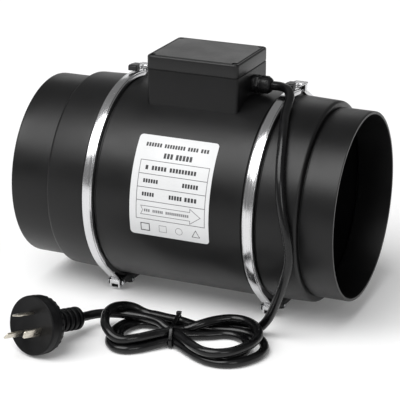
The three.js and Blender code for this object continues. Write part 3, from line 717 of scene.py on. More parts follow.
class FAN_OT_lead(bpy.types.Operator):
    """Lays the mains lead and ties its hank"""

    bl_idname = "fan.lead"
    bl_label = "Mains lead"

    def execute(self, context):
        route = lead_route()
        curve = bpy.data.curves.new("mains_lead", "CURVE")
        curve.dimensions = "3D"
        curve.bevel_depth = lead().diameter / 2
        curve.bevel_resolution = 5
        curve.resolution_u = 5
        curve.use_fill_caps = True
        spline = curve.splines.new("BEZIER")
        spline.bezier_points.add(len(route) - 1)
        for point, place in zip(spline.bezier_points, route):
            point.co = place
            point.handle_left_type = point.handle_right_type = "AUTO"
        curve.materials.append(palette()["sheath"])
        cord = placed("mains_lead", curve)
        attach(cord, "fan")
        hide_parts("cord_drop", "cord_hank", "cord_tail")

        tie = self.tie()
        return {"FINISHED"}

    def tie(self):
        """A flat plastic tie round the waist, with its square head."""
        outline = [(-24.4, 1.5), (24.4, 1.5), (25.3, 9.5), (19.8, 20.9), (-18.8, 20.9), (-25.3, 9.5)]
        loop = softened(outline, [4, 4, 7, 6, 6, 7], 8)
        rings = []
        section = softened([(-1.9, -0.9), (1.9, -0.9), (1.9, 1.1), (-1.9, 1.1)], 0.8, 4)
        for i, (y, z) in enumerate(loop):
            ahead, behind = Vector(loop[(i + 1) % len(loop)]), Vector(loop[i - 1])
            along = (ahead - behind).normalized()
            out = Vector((along.y, -along.x))
            rings.append([(x, y + out.x * t, z + out.y * t) for x, t in section])
        rings.append(rings[0])
        band = lofted(rings, "tie_band", cap=False)
        head = plate([softened([(15.4, 20.6), (20.6, 20.2), (21, 23), (15.8, 23.8)], 0.9)], -2.5, 2.5, 0.5)
        mesh = merged("lead_tie", [band, head])
        turn = Matrix.Rotation(math.radians(TIE_TURN), 4, "Z")
        place = Matrix.Scale(0.001, 4) @ Matrix.Translation((TIE_X, TIE_Y, 0)) @ turn
        return piece("lead_tie", mesh, "fan", palette()["sheath"], ["cord_tie"], matrix=place)


# ------------------------------------------------------------------ plug
def plug_frame():
    """From a plug along its own -X, with its face at the origin, to its place on the floor."""
    facing = Vector((-0.258, -0.942, 0.213)).normalized()
    across = Vector((0, 0, 1)).cross(facing).normalized()
    up = facing.cross(across)
    turn = Matrix((-facing, -across, up)).transposed().to_4x4()
    return Matrix.Scale(0.001, 4) @ Matrix.Translation((-86.8, -230, 32.4)) @ turn


class FAN_OT_plug(bpy.types.Operator):
    """Makes the mains plug, its ribbed strain relief and its pins"""

    bl_idname = "fan.plug"
    bl_label = "Mains plug"

    def execute(self, context):
        place = plug_frame()
        coats = palette()
        face = [(0.25, 0), (0.25, 27.6), (0, 28.2), (0, 29.2)]
        side = [(0.3, 29.7), (0.9, 29.95), (2.4, 30.1), (8.2, 30.1), (8.5, 29.7), (9.1, 29.7), (9.4, 29.9), (13.4, 29.7)]
        back = [(14.2, 29.0), (16.4, 28.5), (18.6, 27.6), (20.3, 26.1), (21.4, 23.4), (22.3, 18), (23.3, 13.4), (24.4, 12.2)]
        body = turned([*face, *side, *back, (24.4, 0)], 96, "plug")
        grip_count = 28
        grips = repeated(self.grip(), grip_count, coats["plug"], turn=(TAU / grip_count, 0, 0))
        moulding = merged("plug_moulding", [body, grips])
        piece("plug_moulding", moulding, "fan", coats["plug"], ["plug_body"], matrix=place)

        ribs = lead().ribs
        pitch = 43.5 / ribs
        core = turned([(24, 0), (24, 9.8), (68, 8.6), (70.6, 7.6), (71.4, 6.2), (71.4, 4.9), (70, 4.7), (70, 0)], 48)
        outline = [(0, 8.0), (0, 12.0), (pitch * 0.62, 12.0), (pitch * 0.62, 8.0)]
        rib = turned(softened(outline, [0, 1.1, 1.1, 0], 5), 48)
        collars = repeated(moved(rib, Matrix.Translation((25.8, 0, 0))), ribs, coats["plug"], step=(pitch, 0, 0))
        sleeve = merged("plug_sleeve", [core, collars])
        piece("plug_sleeve", sleeve, "fan", coats["plug"], ["plug_relief"], matrix=place)

        for name, radius, angle, across, length in (
            ("live", 12.6, 78, True, 23),
            ("neutral", 12.6, 194, True, 23),
            ("earth", 12.2, 310, False, 27),
        ):
            pin = self.pin(length)
            lay = Matrix.Rotation(0 if across else math.pi / 2, 4, "X")
            turn = Matrix.Rotation(math.radians(angle), 4, "X")
            pin.transform(turn @ Matrix.Translation((0, radius, 0)) @ lay)
            piece(f"plug_blade_{name}", pin, "fan", coats["brass"], [f"plug_pin_{name}"], matrix=place)
        return {"FINISHED"}

    def grip(self):
        """One raised grip line on the plug's edge."""
        line = softened([(15.0, 28.0), (18.2, 27.0), (18.4, 28.3), (15.2, 29.2)], 0.3, 2)
        return turned(line, 3, "grip", -2.2, 2.2)

    def pin(self, length):
        """A flat blade across its radius, with a narrowed and chamfered tip."""
        rings = []
        for x, wide, thick in (
            (1.2, 4.3, 1.1), (-0.6, 4.3, 1.1), (-length * 0.45, 4.3, 1.1), (-length * 0.48, 4.1, 0.95),
            (-length + 2.0, 4.1, 0.95), (-length + 0.7, 3.5, 0.7), (-length, 2.7, 0.35),
        ):
            outline = softened([(-thick, -wide), (thick, -wide), (thick, wide), (-thick, wide)], 0.35, 2)
            rings.append([(x, y, z) for y, z in outline])
        return lofted(rings, "blade")


# ------------------------------------------------------------------ casing
class FAN_OT_casing(bpy.types.Operator):
    """Turns the two end sections and the motor casing"""

    bl_idname = "fan.casing"
    bl_label = "Casing"

    def execute(self, context):
        for end, centre in ENDS.items():
            self.section(end, centre)
        self.motor_casing()
        return {"FINISHED"}

    def section(self, end, centre):
        d = duct()
        out = 1 if end == "outlet" else -1
        rim = 180.0 * out
        step = 144.0 if end == "outlet" else -135.0
        spigot, section, wall = d.spigot, d.section, d.wall
        joint = centre + out * 1.1
        back = centre + out * 3.4
        points = [
            ((rim, spigot - wall), 0.5),
            ((rim, spigot), 0.7),
            ((rim - out * 2.2, spigot + 0.15), 1.0),
            ((step + out * 1.6, spigot + 0.3), 0.3),
            ((step + out * 1.6, spigot - 0.9), 0.2),
            ((step, spigot - 0.9), 0.2),
            ((step, section - 1.3), 3.8),
            ((back + out * 7.5, section), 2.0),
            ((back + out * 4.6, section), 0.5),
            ((back + out * 4.0, section - 1.1), 0.5),
            ((back + out * 1.2, section - 1.1), 0.5),
            ((back, 110.0), 0.4),
            ((joint, 110.0), 0.3),
            ((joint, section - wall), 0.6),
            ((step - out * 5.5, section - wall - 1), 2.0),
            ((step - out * 2.5, spigot - wall - 0.3), 2.0),
        ]
        outline = softened([p for p, _ in points], [r for _, r in points], 5)
        mesh = turned(outline, d.facets, f"{end}_duct")
        piece(f"{end}_duct", mesh, "fan", palette()["casing"], [f"{end}_section"], 30)

    def motor_casing(self):
        d = duct()
        half = []
        for x, r, soft in (
            (ENDS["inlet"] + 1.1, 110.0, 0.3), (ENDS["inlet"] + 3.4, 110.0, 0.4), (ENDS["inlet"] + 4.6, 106.7, 0.4),
            (ENDS["inlet"] + 8.0, 106.7, 0.5), (ENDS["inlet"] + 8.8, d.casing, 0.9),
        ):
            half.append(((x, r), soft))
        middle = (ENDS["inlet"] + ENDS["outlet"]) / 2
        other = [((2 * middle - x, r), soft) for (x, r), soft in reversed(half)]
        inside = [((ENDS["outlet"] - 1.1, d.casing - 4), 0.5), ((ENDS["inlet"] + 1.1, d.casing - 4), 0.5)]
        points = half + other + inside
        outline = softened([p for p, _ in points], [r for _, r in points], 5)
        mesh = turned(outline, d.facets, "motor_duct")
        piece("motor_duct", mesh, "fan", palette()["casing"], ["motor_casing"], 30)


# ------------------------------------------------------------------ rotor and vanes
def curved_blade(hub, tip, x0, x1, lean0, lean1, thick, rows=14, columns=10):
    """A twisted blade from hub to tip: its angle about the duct axis grows from its front edge to its back."""
    rings = []
    for j in range(rows + 1):
        t = j / rows
        radius = hub + (tip - hub) * t
        twist = lean0 + (lean1 - lean0) * t
        ring_top, ring_low = [], []
        for i in range(columns + 1):
            s = i / columns
            x = x0 + (x1 - x0) * s
            a = math.radians(twist) * (s - 0.5) + math.radians(9) * math.sin(math.pi * s)
            h = thick * (0.25 + 0.75 * math.sin(math.pi * (0.08 + 0.84 * s))) / 2 / radius
            ring_top.append((x, radius * math.sin(a + h), radius * math.cos(a + h)))
            ring_low.append((x, radius * math.sin(a - h), radius * math.cos(a - h)))
        rings.append(ring_top + ring_low[::-1])
    return lofted(rings, "blade")


class FAN_OT_rotor(bpy.types.Operator):
    """Makes the impeller, its nose cone and the guide vanes"""

    bl_idname = "fan.rotor"
    bl_label = "Impeller and vanes"

    def execute(self, context):
        coats, d = palette(), duct()
        hub = turned(
            softened(
                [(-76, 6.3), (-76, 24), (-73, 30), (-40, 52), (-40, 47), (-68, 25), (-68, 14), (-48, 14), (-48, 6.3)],
                [0.3, 2, 4, 1, 0.5, 2, 1, 1, 0.3], 4,
            ),
            96,
        )
        blade = curved_blade(29.5, 92.5, -75, -41, 62, 40, 3.0)
        blades = repeated(blade, d.blades, coats["inner"], turn=(TAU / d.blades, 0, 0))
        wheel = merged("impeller_wheel", [hub, blades])
        piece("impeller_wheel", wheel, "rotor", coats["inner"], ["impeller"])

        cone = turned([(-92, 0), (-91.6, 3.4), (-90, 7.6), (-87.4, 11.4), (-84, 15), (-80.5, 17.8), (-77.2, 19.7),
                       (-76.5, 20), (-76.5, 4.4), (-82.4, 4.4), (-82.4, 0)], 72)
        piece("impeller_nose", cone, "rotor", coats["inner"], ["impeller_cone"])

        sleeve = turned(softened([(0, 46.4), (60, 46.4), (60, 49), (0, 49)], 0.8, 3), 96)
        vane = curved_blade(47, 103.4, 3, 57, -16, -12, 2.6, 8, 8)
        vanes = repeated(vane, d.vanes, coats["inner"], turn=(TAU / d.vanes, 0, 0))
        vanes.transform(Matrix.Rotation(math.pi / d.vanes, 4, "X"))
        piece("vane_ring", merged("vane_ring", [sleeve, vanes]), "fan", coats["inner"], ["guide_vanes"])

        cap = turned(
            [(62.3, 0), (62.3, 30), (63.2, 30.2), (66, 29), (69.5, 25.2), (72.6, 19.5), (74.8, 12.4), (75.8, 5), (76, 0)], 72
        )
        piece("motor_dome", cap, "fan", coats["motor"], ["motor_end_cap"])
        shell = turned(
            softened(
                [(-34, 12.4), (-34, 34), (-29, 46), (59, 46), (62, 43), (62, 12.4)], [0.3, 3, 5, 2, 2, 0.3], 4
            ),
            96,
        )
        piece("motor_can", shell, "fan", coats["motor"], ["motor_housing"])
        return {"FINISHED"}


# ------------------------------------------------------------------ clamp bands
HINGE_Y, HINGE_Z = 45.0, -111.0
BUMPER_Y, BUMPER_Z, BUMPER_RADIUS = 20, -116.6, 4.3
LEVER_PIN = (17, 117)
BAIL_EYE = (9.5, 116.4)


def band_frame(distance, angle, side):
    """A point at a radius and an angle from the crown, opening to the side."""
    a = math.radians(angle)
    return side * distance * math.sin(a), distance * math.cos(a)


class FAN_OT_clamps(bpy.types.Operator):
    """Makes the four clamp halves with their eyes, the latch lugs and the catches"""

    bl_idname = "fan.clamps"
    bl_label = "Clamp bands"

    def execute(self, context):
        steel = palette()["strap"]
        for end, x in ENDS.items():
            front = [self.band(x, -1, -13), *self.eye(x, -1), self.lug(x)]
            body = "front_half_inlet" if end == "inlet" else "fan"
            piece(f"front_band_{end}", merged("front_band", front), body, steel, [f"front_strap_{end}"], 34)
            rear = [self.band(x, 1, 19), *self.eye(x, 1), self.catch(x)]
            piece(f"rear_band_{end}", merged("rear_band", rear), f"rear_half_{end}", steel,
                  [f"rear_strap_{end}"], 34)
        return {"FINISHED"}

    def section(self, legs):
        """The channel's outline as (x, radius) pairs. legs is 1 for the full channel and 0 for the bare strip."""
        outer, inner = clamp().outer, clamp().inner
        foot = inner - 2.7 * legs
        spread = 1.35 * legs
        left = [(-4.7 - spread, foot), (-4.75 - spread * 0.35, outer - 1.2), (-4.3, outer - 1.05), (-4.3, outer)]
        right = [(-x, r) for x, r in reversed(left)]
        inset = 4.7 + spread - 1.0 * legs
        under = [(inset, foot - 0.01), (3.9, inner), (-3.9, inner), (-inset, foot - 0.01)]
        return softened(left + right + under, [0.2, 0.4, 0.1, 0.4, 0.4, 0.1, 0.4, 0.2, 0.2, 0.4, 0.4, 0.2], 3)

    def band(self, x, side, top):
        leaves = clamp().leaves
        rings = []
        steps = 96
        for i in range(steps + 1):
            angle = top + (leaves - top) * i / steps
            legs = min(1.0, max(0.0, (leaves - 2 - angle) / 5)) * min(1.0, 0.35 + (angle - top) / 4)
            rings.append([(x + u, *band_frame(r, angle, side)) for u, r in self.section(legs)])
        base_y, base_z = band_frame(1, leaves, side)
        for distance in (6, 14, 22, 30, 38):
            rings.append([
                (x + u, base_y * r + side * base_z * distance, base_z * r - side * base_y * distance)
                for u, r in self.section(0.0)
            ])
        return lofted(rings, "band")

    def eye(self, x, side):
        """The stirrup round the hinge pin: two cheeks, a bridge above and a bar below a window."""
        y, z = side * HINGE_Y, HINGE_Z
        outline = softened(
            [(y - 4.2, z + 3), (y, z + 4.6), (y + 4.2, z + 3), (y + 4.2, z - 5.4), (y + 3, z - 6.6), (y - 3, z - 6.6),
             (y - 4.2, z - 5.4)], 1.6,
        )
        hole = circle(y, z, 2.15, 20)
        cheeks = [plate([outline, hole], x + a, x + b, 0.35) for a, b in ((-5.8, -3.9), (3.9, 5.8))]
        bridge = plate([softened([(y - 3.9, z - 1.6), (y - 3.9, z + 3), (y, z + 4.3), (y + 3.9, z + 3),
                                  (y + 3.9, z - 1.6)], 0.8), hole], x - 4.3, x + 4.3, 0.3)
        bar = plate([softened([(y - 3.9, z - 5.2), (y + 3.9, z - 5.2), (y + 2.9, z - 6.5), (y - 2.9, z - 6.5)], 0.4)],
                    x - 4.3, x + 4.3, 0.25)
        return [*cheeks, bridge, bar]

    def lug(self, x):
        """The upright ear on the front band that carries the lever's pin."""
        outline = [(13, 111.2), (23.5, 109.6), (19.9, 117.6), (19, 119.2), (17, 119.9), (15, 119.2), (14.2, 117.6)]
        return plate([softened(outline, 1.2), circle(*LEVER_PIN, 1.7, 18)], x - 2.5, x + 2.5, 0.3)

    def catch(self, x):
        """The hook on the rear band that the link pulls on."""
        hook = [(37.6, 104.6), (43.8, 102.4), (43.8, 109.8), (43, 111.3), (41.9, 110.7), (39.6, 110.7), (38.6, 111.4),
                (37.6, 110.4)]
        return plate([softened(hook, [0.2, 0.2, 1.2, 0.4, 0.5, 0.5, 0.4, 1.2])], x - 4.9, x + 4.9, 0.4)


class FAN_OT_feet(bpy.types.Operator):
    """Makes the saddle brackets, the rubber bumpers and all headed pins"""

    bl_idname = "fan.feet"
    bl_label = "Feet"

    def execute(self, context):
        coats = palette()
        for end, x in ENDS.items():
            saddle = turned(
                softened([(x - 7.5, 110.6), (x + 7.5, 110.6), (x + 7.5, 113.2), (x - 7.5, 113.2)], 0.5, 3),
                28, "saddle", 163.5, 196.5,
            )
            cheeks = [self.cheek(x + a, x + b) for a, b in ((-7.5, -6.2), (6.2, 7.5))]
            bracket = merged("bracket", [saddle, *cheeks])
            piece(f"bracket_{end}", bracket, "fan", coats["coated"], [f"foot_{end}"], 34)
            for half, side in (("front", -1), ("rear", 1)):
                place = (side * HINGE_Y, HINGE_Z)
                piece(f"pin_hinge_{half}_{end}", self.headed(x, *place, 2.0, 3.1), "fan", coats["zinc"],
                      [f"hinge_pin_{half}_{end}"])
                piece(f"roller_{half}_{end}", self.roller(x, side * BUMPER_Y), "fan", coats["bumper"],
                      [f"bumper_{half}_{end}"], 50)
                piece(f"pin_roller_{half}_{end}", self.headed(x, side * BUMPER_Y, BUMPER_Z, 1.5, 2.4), "fan", coats["zinc"],
                      [f"bumper_pin_{half}_{end}"])
        return {"FINISHED"}

    def cheek(self, x0, x1):
        """One side flange of the saddle, with a lobe for each pin."""
        half = [(0, -118.4), (14.5, -117.9), (17.2, -119.7), (20, -120.2), (22.8, -119.7), (24.6, -117.4), (28, -115.4),
                (40, -114.2), (44, -115.1), (48, -113.6), (49.1, -111), (47.8, -107.8), (44.5, -106.9), (38, -107.6),
                (32.2, -105.8), (16.6, -109.4)]
        mirror = [(-y, z) for y, z in reversed(half[1:])]
        outline = softened([*half, (0, -110.6), *mirror], 2.4, 4)
        holes = [circle(s * HINGE_Y, HINGE_Z, 2.2, 20) for s in (-1, 1)]
        holes += [circle(s * BUMPER_Y, BUMPER_Z, 1.7, 18) for s in (-1, 1)]
        return plate([outline, *holes], x0, x1, 0.25)

    def headed(self, x, y, z, radius, head):
        """A pin along the duct with a domed head at each end."""
        dome = [(9.9, 0), (9.85, head * 0.3), (9.6, head * 0.62), (9.1, head * 0.87), (8.5, head), (7.9, head),
                (7.9, radius)]
        profile = [(x + u, r) for u, r in dome] + [(x - u, r) for u, r in reversed(dome)]
        return moved(turned(profile, 28), Matrix.Translation((0, y, z)))

    def roller(self, x, y):
        """A rubber bumper pressed flat where it stands on the floor."""
        outline = [(u, max(v, -AXIS)) for u, v in arc(y, BUMPER_Z, BUMPER_RADIUS, -65, 245, 30)]
        return plate([outline, circle(y, BUMPER_Z, 1.55, 18)], x - 5.9, x + 5.9, 0.6)


# ------------------------------------------------------------------ latches
class FAN_OT_latches(bpy.types.Operator):
    """Makes the two toggle latches: lever, pin and wire bail"""

    bl_idname = "fan.latches"
    bl_label = "Latches"

    def execute(self, context):
        coats = palette()
        for end, x in ENDS.items():
            body = softened(
                [(0.6, 115.4), (1.4, 114.8), (9, 114.6), (12.9, 114.7), (12.9, 120.1), (9, 120.6), (3, 120.9),
                 (0.8, 120.0)],
                [0.6, 0.6, 1, 0.4, 0.8, 2, 1.4, 1.0], 5,
            )
            cheek = softened(
                [(8.6, 114.7), (15, 114.6), (18, 114.5), (19.7, 116.4), (19.4, 118.4), (17.6, 119.7), (12, 120.3),
                 (8.6, 120.5)],
                [0.3, 1, 1.5, 1.5, 1.5, 1.5, 1, 0.3], 5,
            )
            eye = circle(*BAIL_EYE, 1.25, 16)
            parts = [plate([body, eye], x - 4.95, x + 4.95, 0.55)]
            side = [cheek, circle(*LEVER_PIN, 1.75, 18), eye]
            parts += [plate(side, x + a, x + b, 0.25) for a, b in ((-5.0, -2.85), (2.85, 5.0))]
            lever = merged("lever", parts, [0, 1, 1])
            finish = [coats["coated"], coats["strap"]]
            piece(f"lever_{end}", lever, f"lever_{end}", finish, [f"latch_lever_{end}"], 34)
            rivet = turned([(x - 5.3, 0), (x - 5.25, 1.6), (x - 4.95, 2.0), (x - 4.95, 1.5), (x + 4.95, 1.5),
                            (x + 4.95, 2.0), (x + 5.25, 1.6), (x + 5.3, 0)], 24)
            rivet.transform(Matrix.Translation((0, *LEVER_PIN)))
            carrier = "front_half_inlet" if end == "inlet" else "fan"
            piece(f"lever_rivet_{end}", rivet, carrier, coats["zinc"], [f"lever_pin_{end}"])
            piece(f"bail_{end}", self.bail(x), f"bail_{end}", coats["wire"], [f"latch_bail_{end}"], 60)
        return {"FINISHED"}

    def bail(self, x):
        """A closed loop of wire from the lever's eye to the catch."""
        start, end = Vector(BAIL_EYE), Vector((41, 112.7))
        along = (end - start).normalized()
        length = (end - start).length
        flat = softened([(-6.3, 0), (6.3, 0), (6.3, length), (-6.3, length)], 1.6, 6)
        points = [(x + u, *(start + along * v)) for u, v in flat]
        wire = wire_loop(points, 0.9)
        outline = []
        for v, lift in ((13.2, 0.25), (30.7, 0.25), (31.1, 0.7), (30.7, 1.45), (13.2, 1.45), (12.8, 0.85)):
            spot = start + along * v
            outline.append((spot.x - along.y * lift, spot.y + along.x * lift))
        cover = plate([softened(outline, 0.25)], x - 6.6, x + 6.6, 0.2)
        return merged("bail", [wire, cover])


# ------------------------------------------------------------------ terminal box and gland
BOX = (-45, 57, -48, 35)
SCREW_INSET = 5.6


def box_ring(inset, z, steps=8):
    """The terminal box's outline at a height."""
    left, right, front, back = BOX
    x0, x1, y0, y1 = left + inset, right - inset, front + inset, back - inset
    radius = max(5.0 - inset, 0.8)
    corners = [(x1 - radius, y0 + radius, -90), (x1 - radius, y1 - radius, 0), (x0 + radius, y1 - radius, 90),
               (x0 + radius, y0 + radius, 180)]
    ring = []
    for cx, cy, start in corners:
        ring += [(px, py, z) for px, py in arc(cx, cy, radius, start, start + 90, steps)]
    return ring


SCREWS = [
    (x, y)
    for x in (BOX[0] + SCREW_INSET, BOX[1] - SCREW_INSET)
    for y in (BOX[2] + SCREW_INSET, BOX[3] - SCREW_INSET)
]


def upright(profile, steps=32):
    """A (height, radius) profile turned about a vertical line."""
    mesh = turned(profile, steps)
    mesh.transform(Matrix(((0, 1, 0, 0), (0, 0, 1, 0), (1, 0, 0, 0), (0, 0, 0, 1))))
    return mesh


class FAN_OT_terminal_box(bpy.types.Operator):
    """Makes the terminal box, its lid, seal and screws, and the cable gland"""

    bl_idname = "fan.terminal_box"
    bl_label = "Terminal box"

    def execute(self, context):
        coats = palette()
        drum = turned([(-70, 0), (-70, 108.02), (80, 108.02), (80, 0)], duct().facets)
        block = [(0, 88), (0, 133.2), (0.15, 133.8), (0.6, 134.05)]
        base = cut(lofted([box_ring(*level) for level in block], "base"), drum)
        piece("box_base", base, "fan", coats["box"], ["terminal_box_base"], 30)

        levels = [(0.6, 134.95), (0.12, 135.2), (0, 135.8), (0, 146.7), (0.2, 147.6), (0.8, 148.45), (1.6, 148.8),
                  (2.3, 148.75), (2.6, 148.1), (3.3, 148.1), (3.6, 148.85), (4.2, 149.0)]
        lid = lofted([box_ring(*level) for level in levels], "lid")
        wells = [
            moved(upright([(145.4, 0), (145.4, 2.75), (150, 2.9), (150, 0)]), Matrix.Translation((x, y, 0)))
            for x, y in SCREWS
        ]
        piece("box_lid", cut(lid, *wells), "fan", coats["lid"], ["terminal_box_lid"], 30)
        seal = lofted([box_ring(0.5, 133.95), box_ring(0.45, 134.5), box_ring(0.5, 135.05)], "seal")
        piece("box_seal", seal, "fan", coats["bumper"], ["lid_gasket"])
        for i, (x, y) in enumerate(SCREWS):
            head = upright([(145.5, 0), (145.5, 2.45), (147.2, 2.45), (147.6, 2.1), (147.8, 0)])
            slots = [plate([[(-1.7, 146.7), (1.7, 146.7), (1.7, 149), (-1.7, 149)]], -0.4, 0.4, 0.02)]
            slots.append(moved(slots[0].copy(), Matrix.Rotation(math.pi / 2, 4, "Z")))
            screw = moved(cut(head, *slots), Matrix.Translation((x, y, 0)))
            piece(f"box_screw_{i + 1}", screw, "fan", coats["zinc"], [f"lid_screw_{i + 1}"])
        self.gland()
        return {"FINISHED"}

    def gland(self):
        """The gland's seat with its hexagon, and the ridged dome nut."""
        coats = palette()
        centre = Matrix.Translation((0, -4, 119))
        flange = turned(softened([(57.0, 5.1), (57.0, 9.4), (60.8, 9.4), (61.2, 8.2), (66, 8.2), (66, 5.1)],
                                 [0.2, 0.5, 0.8, 0.3, 0.3, 0.2], 4), 48)
        hexagon = plate([softened(circle(0, 0, 9.9, 6), 0.8), circle(0, 0, 5.2, 32)], 59.4, 64.6, 0.5)
        body = merged("gland_seat", [flange, hexagon])
        piece("gland_seat", moved(body, centre), "fan", coats["gland"], ["gland_body"], 32)
        shell = turned(
            softened(
                [(66.1, 5.1), (66.1, 8.8), (73.2, 8.8), (75.6, 8.0), (77.2, 6.6), (77.8, 5.4), (77.8, 4.9), (74, 4.9)],
                [0.2, 0.5, 1.5, 1.5, 1.0, 0.3, 0.2, 0.3], 4,
            ),
            64,
        )
        ridge = plate([arc(0, 0, 9.35, -6.5, 6.5, 6) + arc(0, 0, 8.3, 6.5, -6.5, 6)], 66.3, 73.6, 0.3)
        ridge_count = 15
        ridges = repeated(ridge, ridge_count, coats["gland"], turn=(TAU / ridge_count, 0, 0))
        nut = moved(merged("gland_dome", [shell, ridges]), centre)
        piece("gland_dome", nut, "fan", coats["gland"], ["gland_nut"], 32)


# ------------------------------------------------------------------ rating label
FILM, INK, LINE = 0, 1, 2
PRINT_LIFT = (0.26, 0.31)


class FAN_OT_label(bpy.types.Operator):
    """Lays the rating label on the casing with its frame, rows, arrow and plain bars"""

    bl_idname = "fan.label"
    bl_label = "Rating label"

    WIDE, TALL = 88.0, 107.0

    def execute(self, context):
        coats = palette()
        self.parts, self.slots = [], []
        self.patch(0, 0, self.WIDE, self.TALL, 4.0, 0.0, 0.28, FILM)
        self.table()
        self.arrow()
        self.words()
        self.marks()
        mesh = merged("rating_plate", self.parts, self.slots)
        piece("rating_plate", mesh, "fan", [coats["film"], coats["ink"], coats["line"]], ["rating_label"], 30)
        return {"FINISHED"}

    def on_casing(self, u, v, lift):
        """A point of the label, u across from its left edge and v down from its top, on the round casing."""
        radius = duct().casing + 0.08 + lift
        angle = math.radians(43.4) - v / 108.4
        return (-36.6 + u, -radius * math.cos(angle), radius * math.sin(angle))

    def patch(self, u0, v0, u1, v1, corner, low, high, slot):
        """A thin rectangle with round corners, wrapped on the casing."""
        across = [u0, u1]
        if corner:
            across = [u0 + corner * (1 - math.cos(math.radians(15 * i))) for i in range(7)]
            across += [u0 + u1 - u for u in across[::-1]]
        rows = max(1, math.ceil((v1 - v0) / 3.0))
        grid = []
        for u in across:
            near = min(u - u0, u1 - u)
            trim = corner - math.sqrt(max(corner**2 - (corner - near) ** 2, 0.0)) if near < corner else 0.0
            grid.append([(u, v0 + trim + (v1 - v0 - 2 * trim) * j / rows) for j in range(rows + 1)])
        self.sheet(grid, low, high, slot)

    def sheet(self, grid, low, high, slot):
        """A closed thin shell over a grid of (u, v) places."""
        bm = bmesh.new()
        layers = [[[bm.verts.new(self.on_casing(u, v, lift)) for u, v in line] for line in grid] for lift in (low, high)]
        n, m = len(grid), len(grid[0])
        for layer in layers:
            for i in range(n - 1):
                for j in range(m - 1):
                    bm.faces.new((layer[i][j], layer[i + 1][j], layer[i + 1][j + 1], layer[i][j + 1]))
        edge = [(i, 0) for i in range(n)] + [(n - 1, j) for j in range(1, m)]
        edge += [(i, m - 1) for i in range(n - 2, -1, -1)] + [(0, j) for j in range(m - 2, 0, -1)]
        for (a, b), (c, d) in zip(edge, edge[1:] + edge[:1]):
            bm.faces.new((layers[0][a][b], layers[0][c][d], layers[1][c][d], layers[1][a][b]))
        self.parts.append(to_mesh(bm, "patch", 1e-5))
        self.slots.append(slot)

    def stroke(self, places, width, slot=LINE):
        """A printed line through places, a few hundredths above the film."""
        for (ua, va), (ub, vb) in zip(places, places[1:]):
            a, b = Vector((ua, va)), Vector((ub, vb))
            along = (b - a).normalized() * width / 2
            side = Vector((-along.y, along.x))
            a, b = a - along, b + along
            steps = max(1, math.ceil((b - a).length / 3.0))
            grid = [[tuple(a + (b - a) * i / steps + side * k) for k in (-1, 1)] for i in range(steps + 1)]
            self.sheet(grid, *PRINT_LIFT, slot)

    def table(self):
        """The frame round the rows and the lines between them."""
        left, right = 7.6, 83.6
        rows = [27.2, 41.2, 55.0, 68.8, 88.4]
        for v in rows:
            self.stroke([(left, v), (right, v)], 0.75)
        for u in (left, right):
            self.stroke([(u, rows[0]), (u, rows[-1])], 0.75)

    def arrow(self):
        """The outlined arrow along the last row."""
        tail, neck, tip, middle = 12.8, 67.5, 79.0, 78.9
        top, low = middle - 4.6, middle + 4.6
        outline = [(tail, top), (neck, top), (neck, top - 3.4), (tip, middle), (neck, low + 3.4), (neck, low), (tail, low),
                   (tail + 2.2, middle), (tail, top)]
        self.stroke(outline, 0.65)

    def bars(self, u, v, widths, tall, gap, slot=INK):
        """A run of plain upright bars, each group standing for a word."""
        for width in widths:
            count = max(1, round(width / (tall * 0.72)))
            each = width / count
            for k in range(count):
                self.patch(u + k * each, v - tall / 2, u + (k + 0.72) * each, v + tall / 2, 0, *PRINT_LIFT, slot)
            u += width + gap

    def words(self):
        """Rows of plain bars where a label carries its text."""
        self.bars(9.5, 10.4, (18, 23.5, 12, 9.5), 4.2, 2.4)
        self.bars(31.5, 20.8, (11, 19), 5.6, 2.4)
        self.bars(14, 34.6, (4, 17, 30), 4.4, 3.0)
        self.bars(13.5, 48.2, (17,), 4.0, 2.0)
        self.bars(57, 48.2, (18,), 4.4, 2.0)
        self.bars(13.5, 62.0, (14,), 4.0, 2.0)
        self.bars(43.5, 62.0, (15, 14), 4.4, 2.4)
        self.bars(16.5, 78.9, (7, 12, 26), 2.9, 2.6, LINE)

    def marks(self):
        """Four plain outlines along the foot of the label."""
        v = 97.4
        self.stroke([(12.6, v - 4), (12.6, v + 4), (22, v + 4), (22, v - 4), (12.6, v - 4)], 0.9, INK)
        self.stroke([(33, v - 3.6), (41, v - 3.6), (41, v + 3.6), (33, v + 3.6), (33, v - 3.6)], 0.5)
        ring = [(55 + 3.8 * math.cos(TAU * k / 16), v + 3.8 * math.sin(TAU * k / 16)) for k in range(17)]
        self.stroke(ring, 0.5)
        self.stroke([(69.5, v + 3.6), (73.7, v - 4), (77.9, v + 3.6), (69.5, v + 3.6)], 0.6, INK)


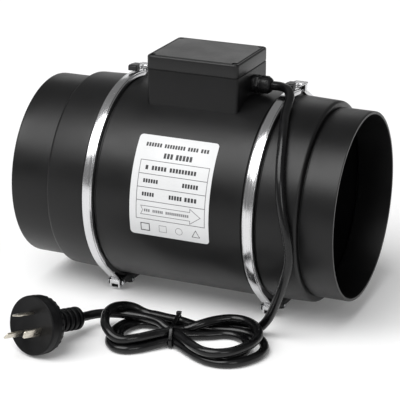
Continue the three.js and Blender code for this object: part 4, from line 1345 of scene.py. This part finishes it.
# ------------------------------------------------------------------ frame nodes that stay as they are
class FAN_OT_frame_finishes(bpy.types.Operator):
    """Gives the frame's own inner parts their finishes"""

    bl_idname = "fan.frame_finishes"
    bl_label = "Inner parts"

    def execute(self, context):
        coats = palette()
        for name, coat in {
            "inlet_gasket": "bumper",
            "outlet_gasket": "bumper",
            "bearing_front": "zinc",
            "bearing_rear": "zinc",
            "motor_shaft": "zinc",
            "terminal_block": "pale",
            "capacitor": "motor",
        }.items():
            node = NODES[name]
            node.data.materials.clear()
            node.data.materials.append(coats[coat])
        return {"FINISHED"}


class FAN_PT_panel(bpy.types.Panel):
    """The fan's sizes, colours and build steps"""

    bl_idname = "FAN_PT_panel"
    bl_label = "Duct fan"
    bl_space_type = "VIEW_3D"
    bl_region_type = "UI"
    bl_category = "Duct fan"

    def draw(self, context):
        for group in ("fan_duct", "fan_clamp", "fan_lead", "fan_finish"):
            settings = getattr(context.scene, group)
            column = self.layout.column(align=True)
            for key in settings.bl_rna.properties.keys():
                if key not in ("rna_type", "name"):
                    column.prop(settings, key)
        for step in STEPS:
            self.layout.operator(step.bl_idname)


GROUPS = {
    "fan_duct": DuctSettings,
    "fan_clamp": ClampSettings,
    "fan_lead": LeadSettings,
    "fan_finish": FinishSettings,
}
STEPS = (
    FAN_OT_stage,
    FAN_OT_lead,
    FAN_OT_plug,
    FAN_OT_casing,
    FAN_OT_rotor,
    FAN_OT_clamps,
    FAN_OT_feet,
    FAN_OT_latches,
    FAN_OT_terminal_box,
    FAN_OT_label,
    FAN_OT_frame_finishes,
)


def register():
    for kind in (*GROUPS.values(), *STEPS, FAN_PT_panel):
        bpy.utils.register_class(kind)
    for name, kind in GROUPS.items():
        setattr(bpy.types.Scene, name, PointerProperty(type=kind))


def unregister():
    for name in GROUPS:
        delattr(bpy.types.Scene, name)
    for kind in (FAN_PT_panel, *reversed(STEPS), *reversed(GROUPS.values())):
        bpy.utils.unregister_class(kind)


def main():
    register()
    for step in STEPS:
        getattr(bpy.ops.fan, step.bl_idname.split(".")[1])()


if __name__ == "__main__":
    main()
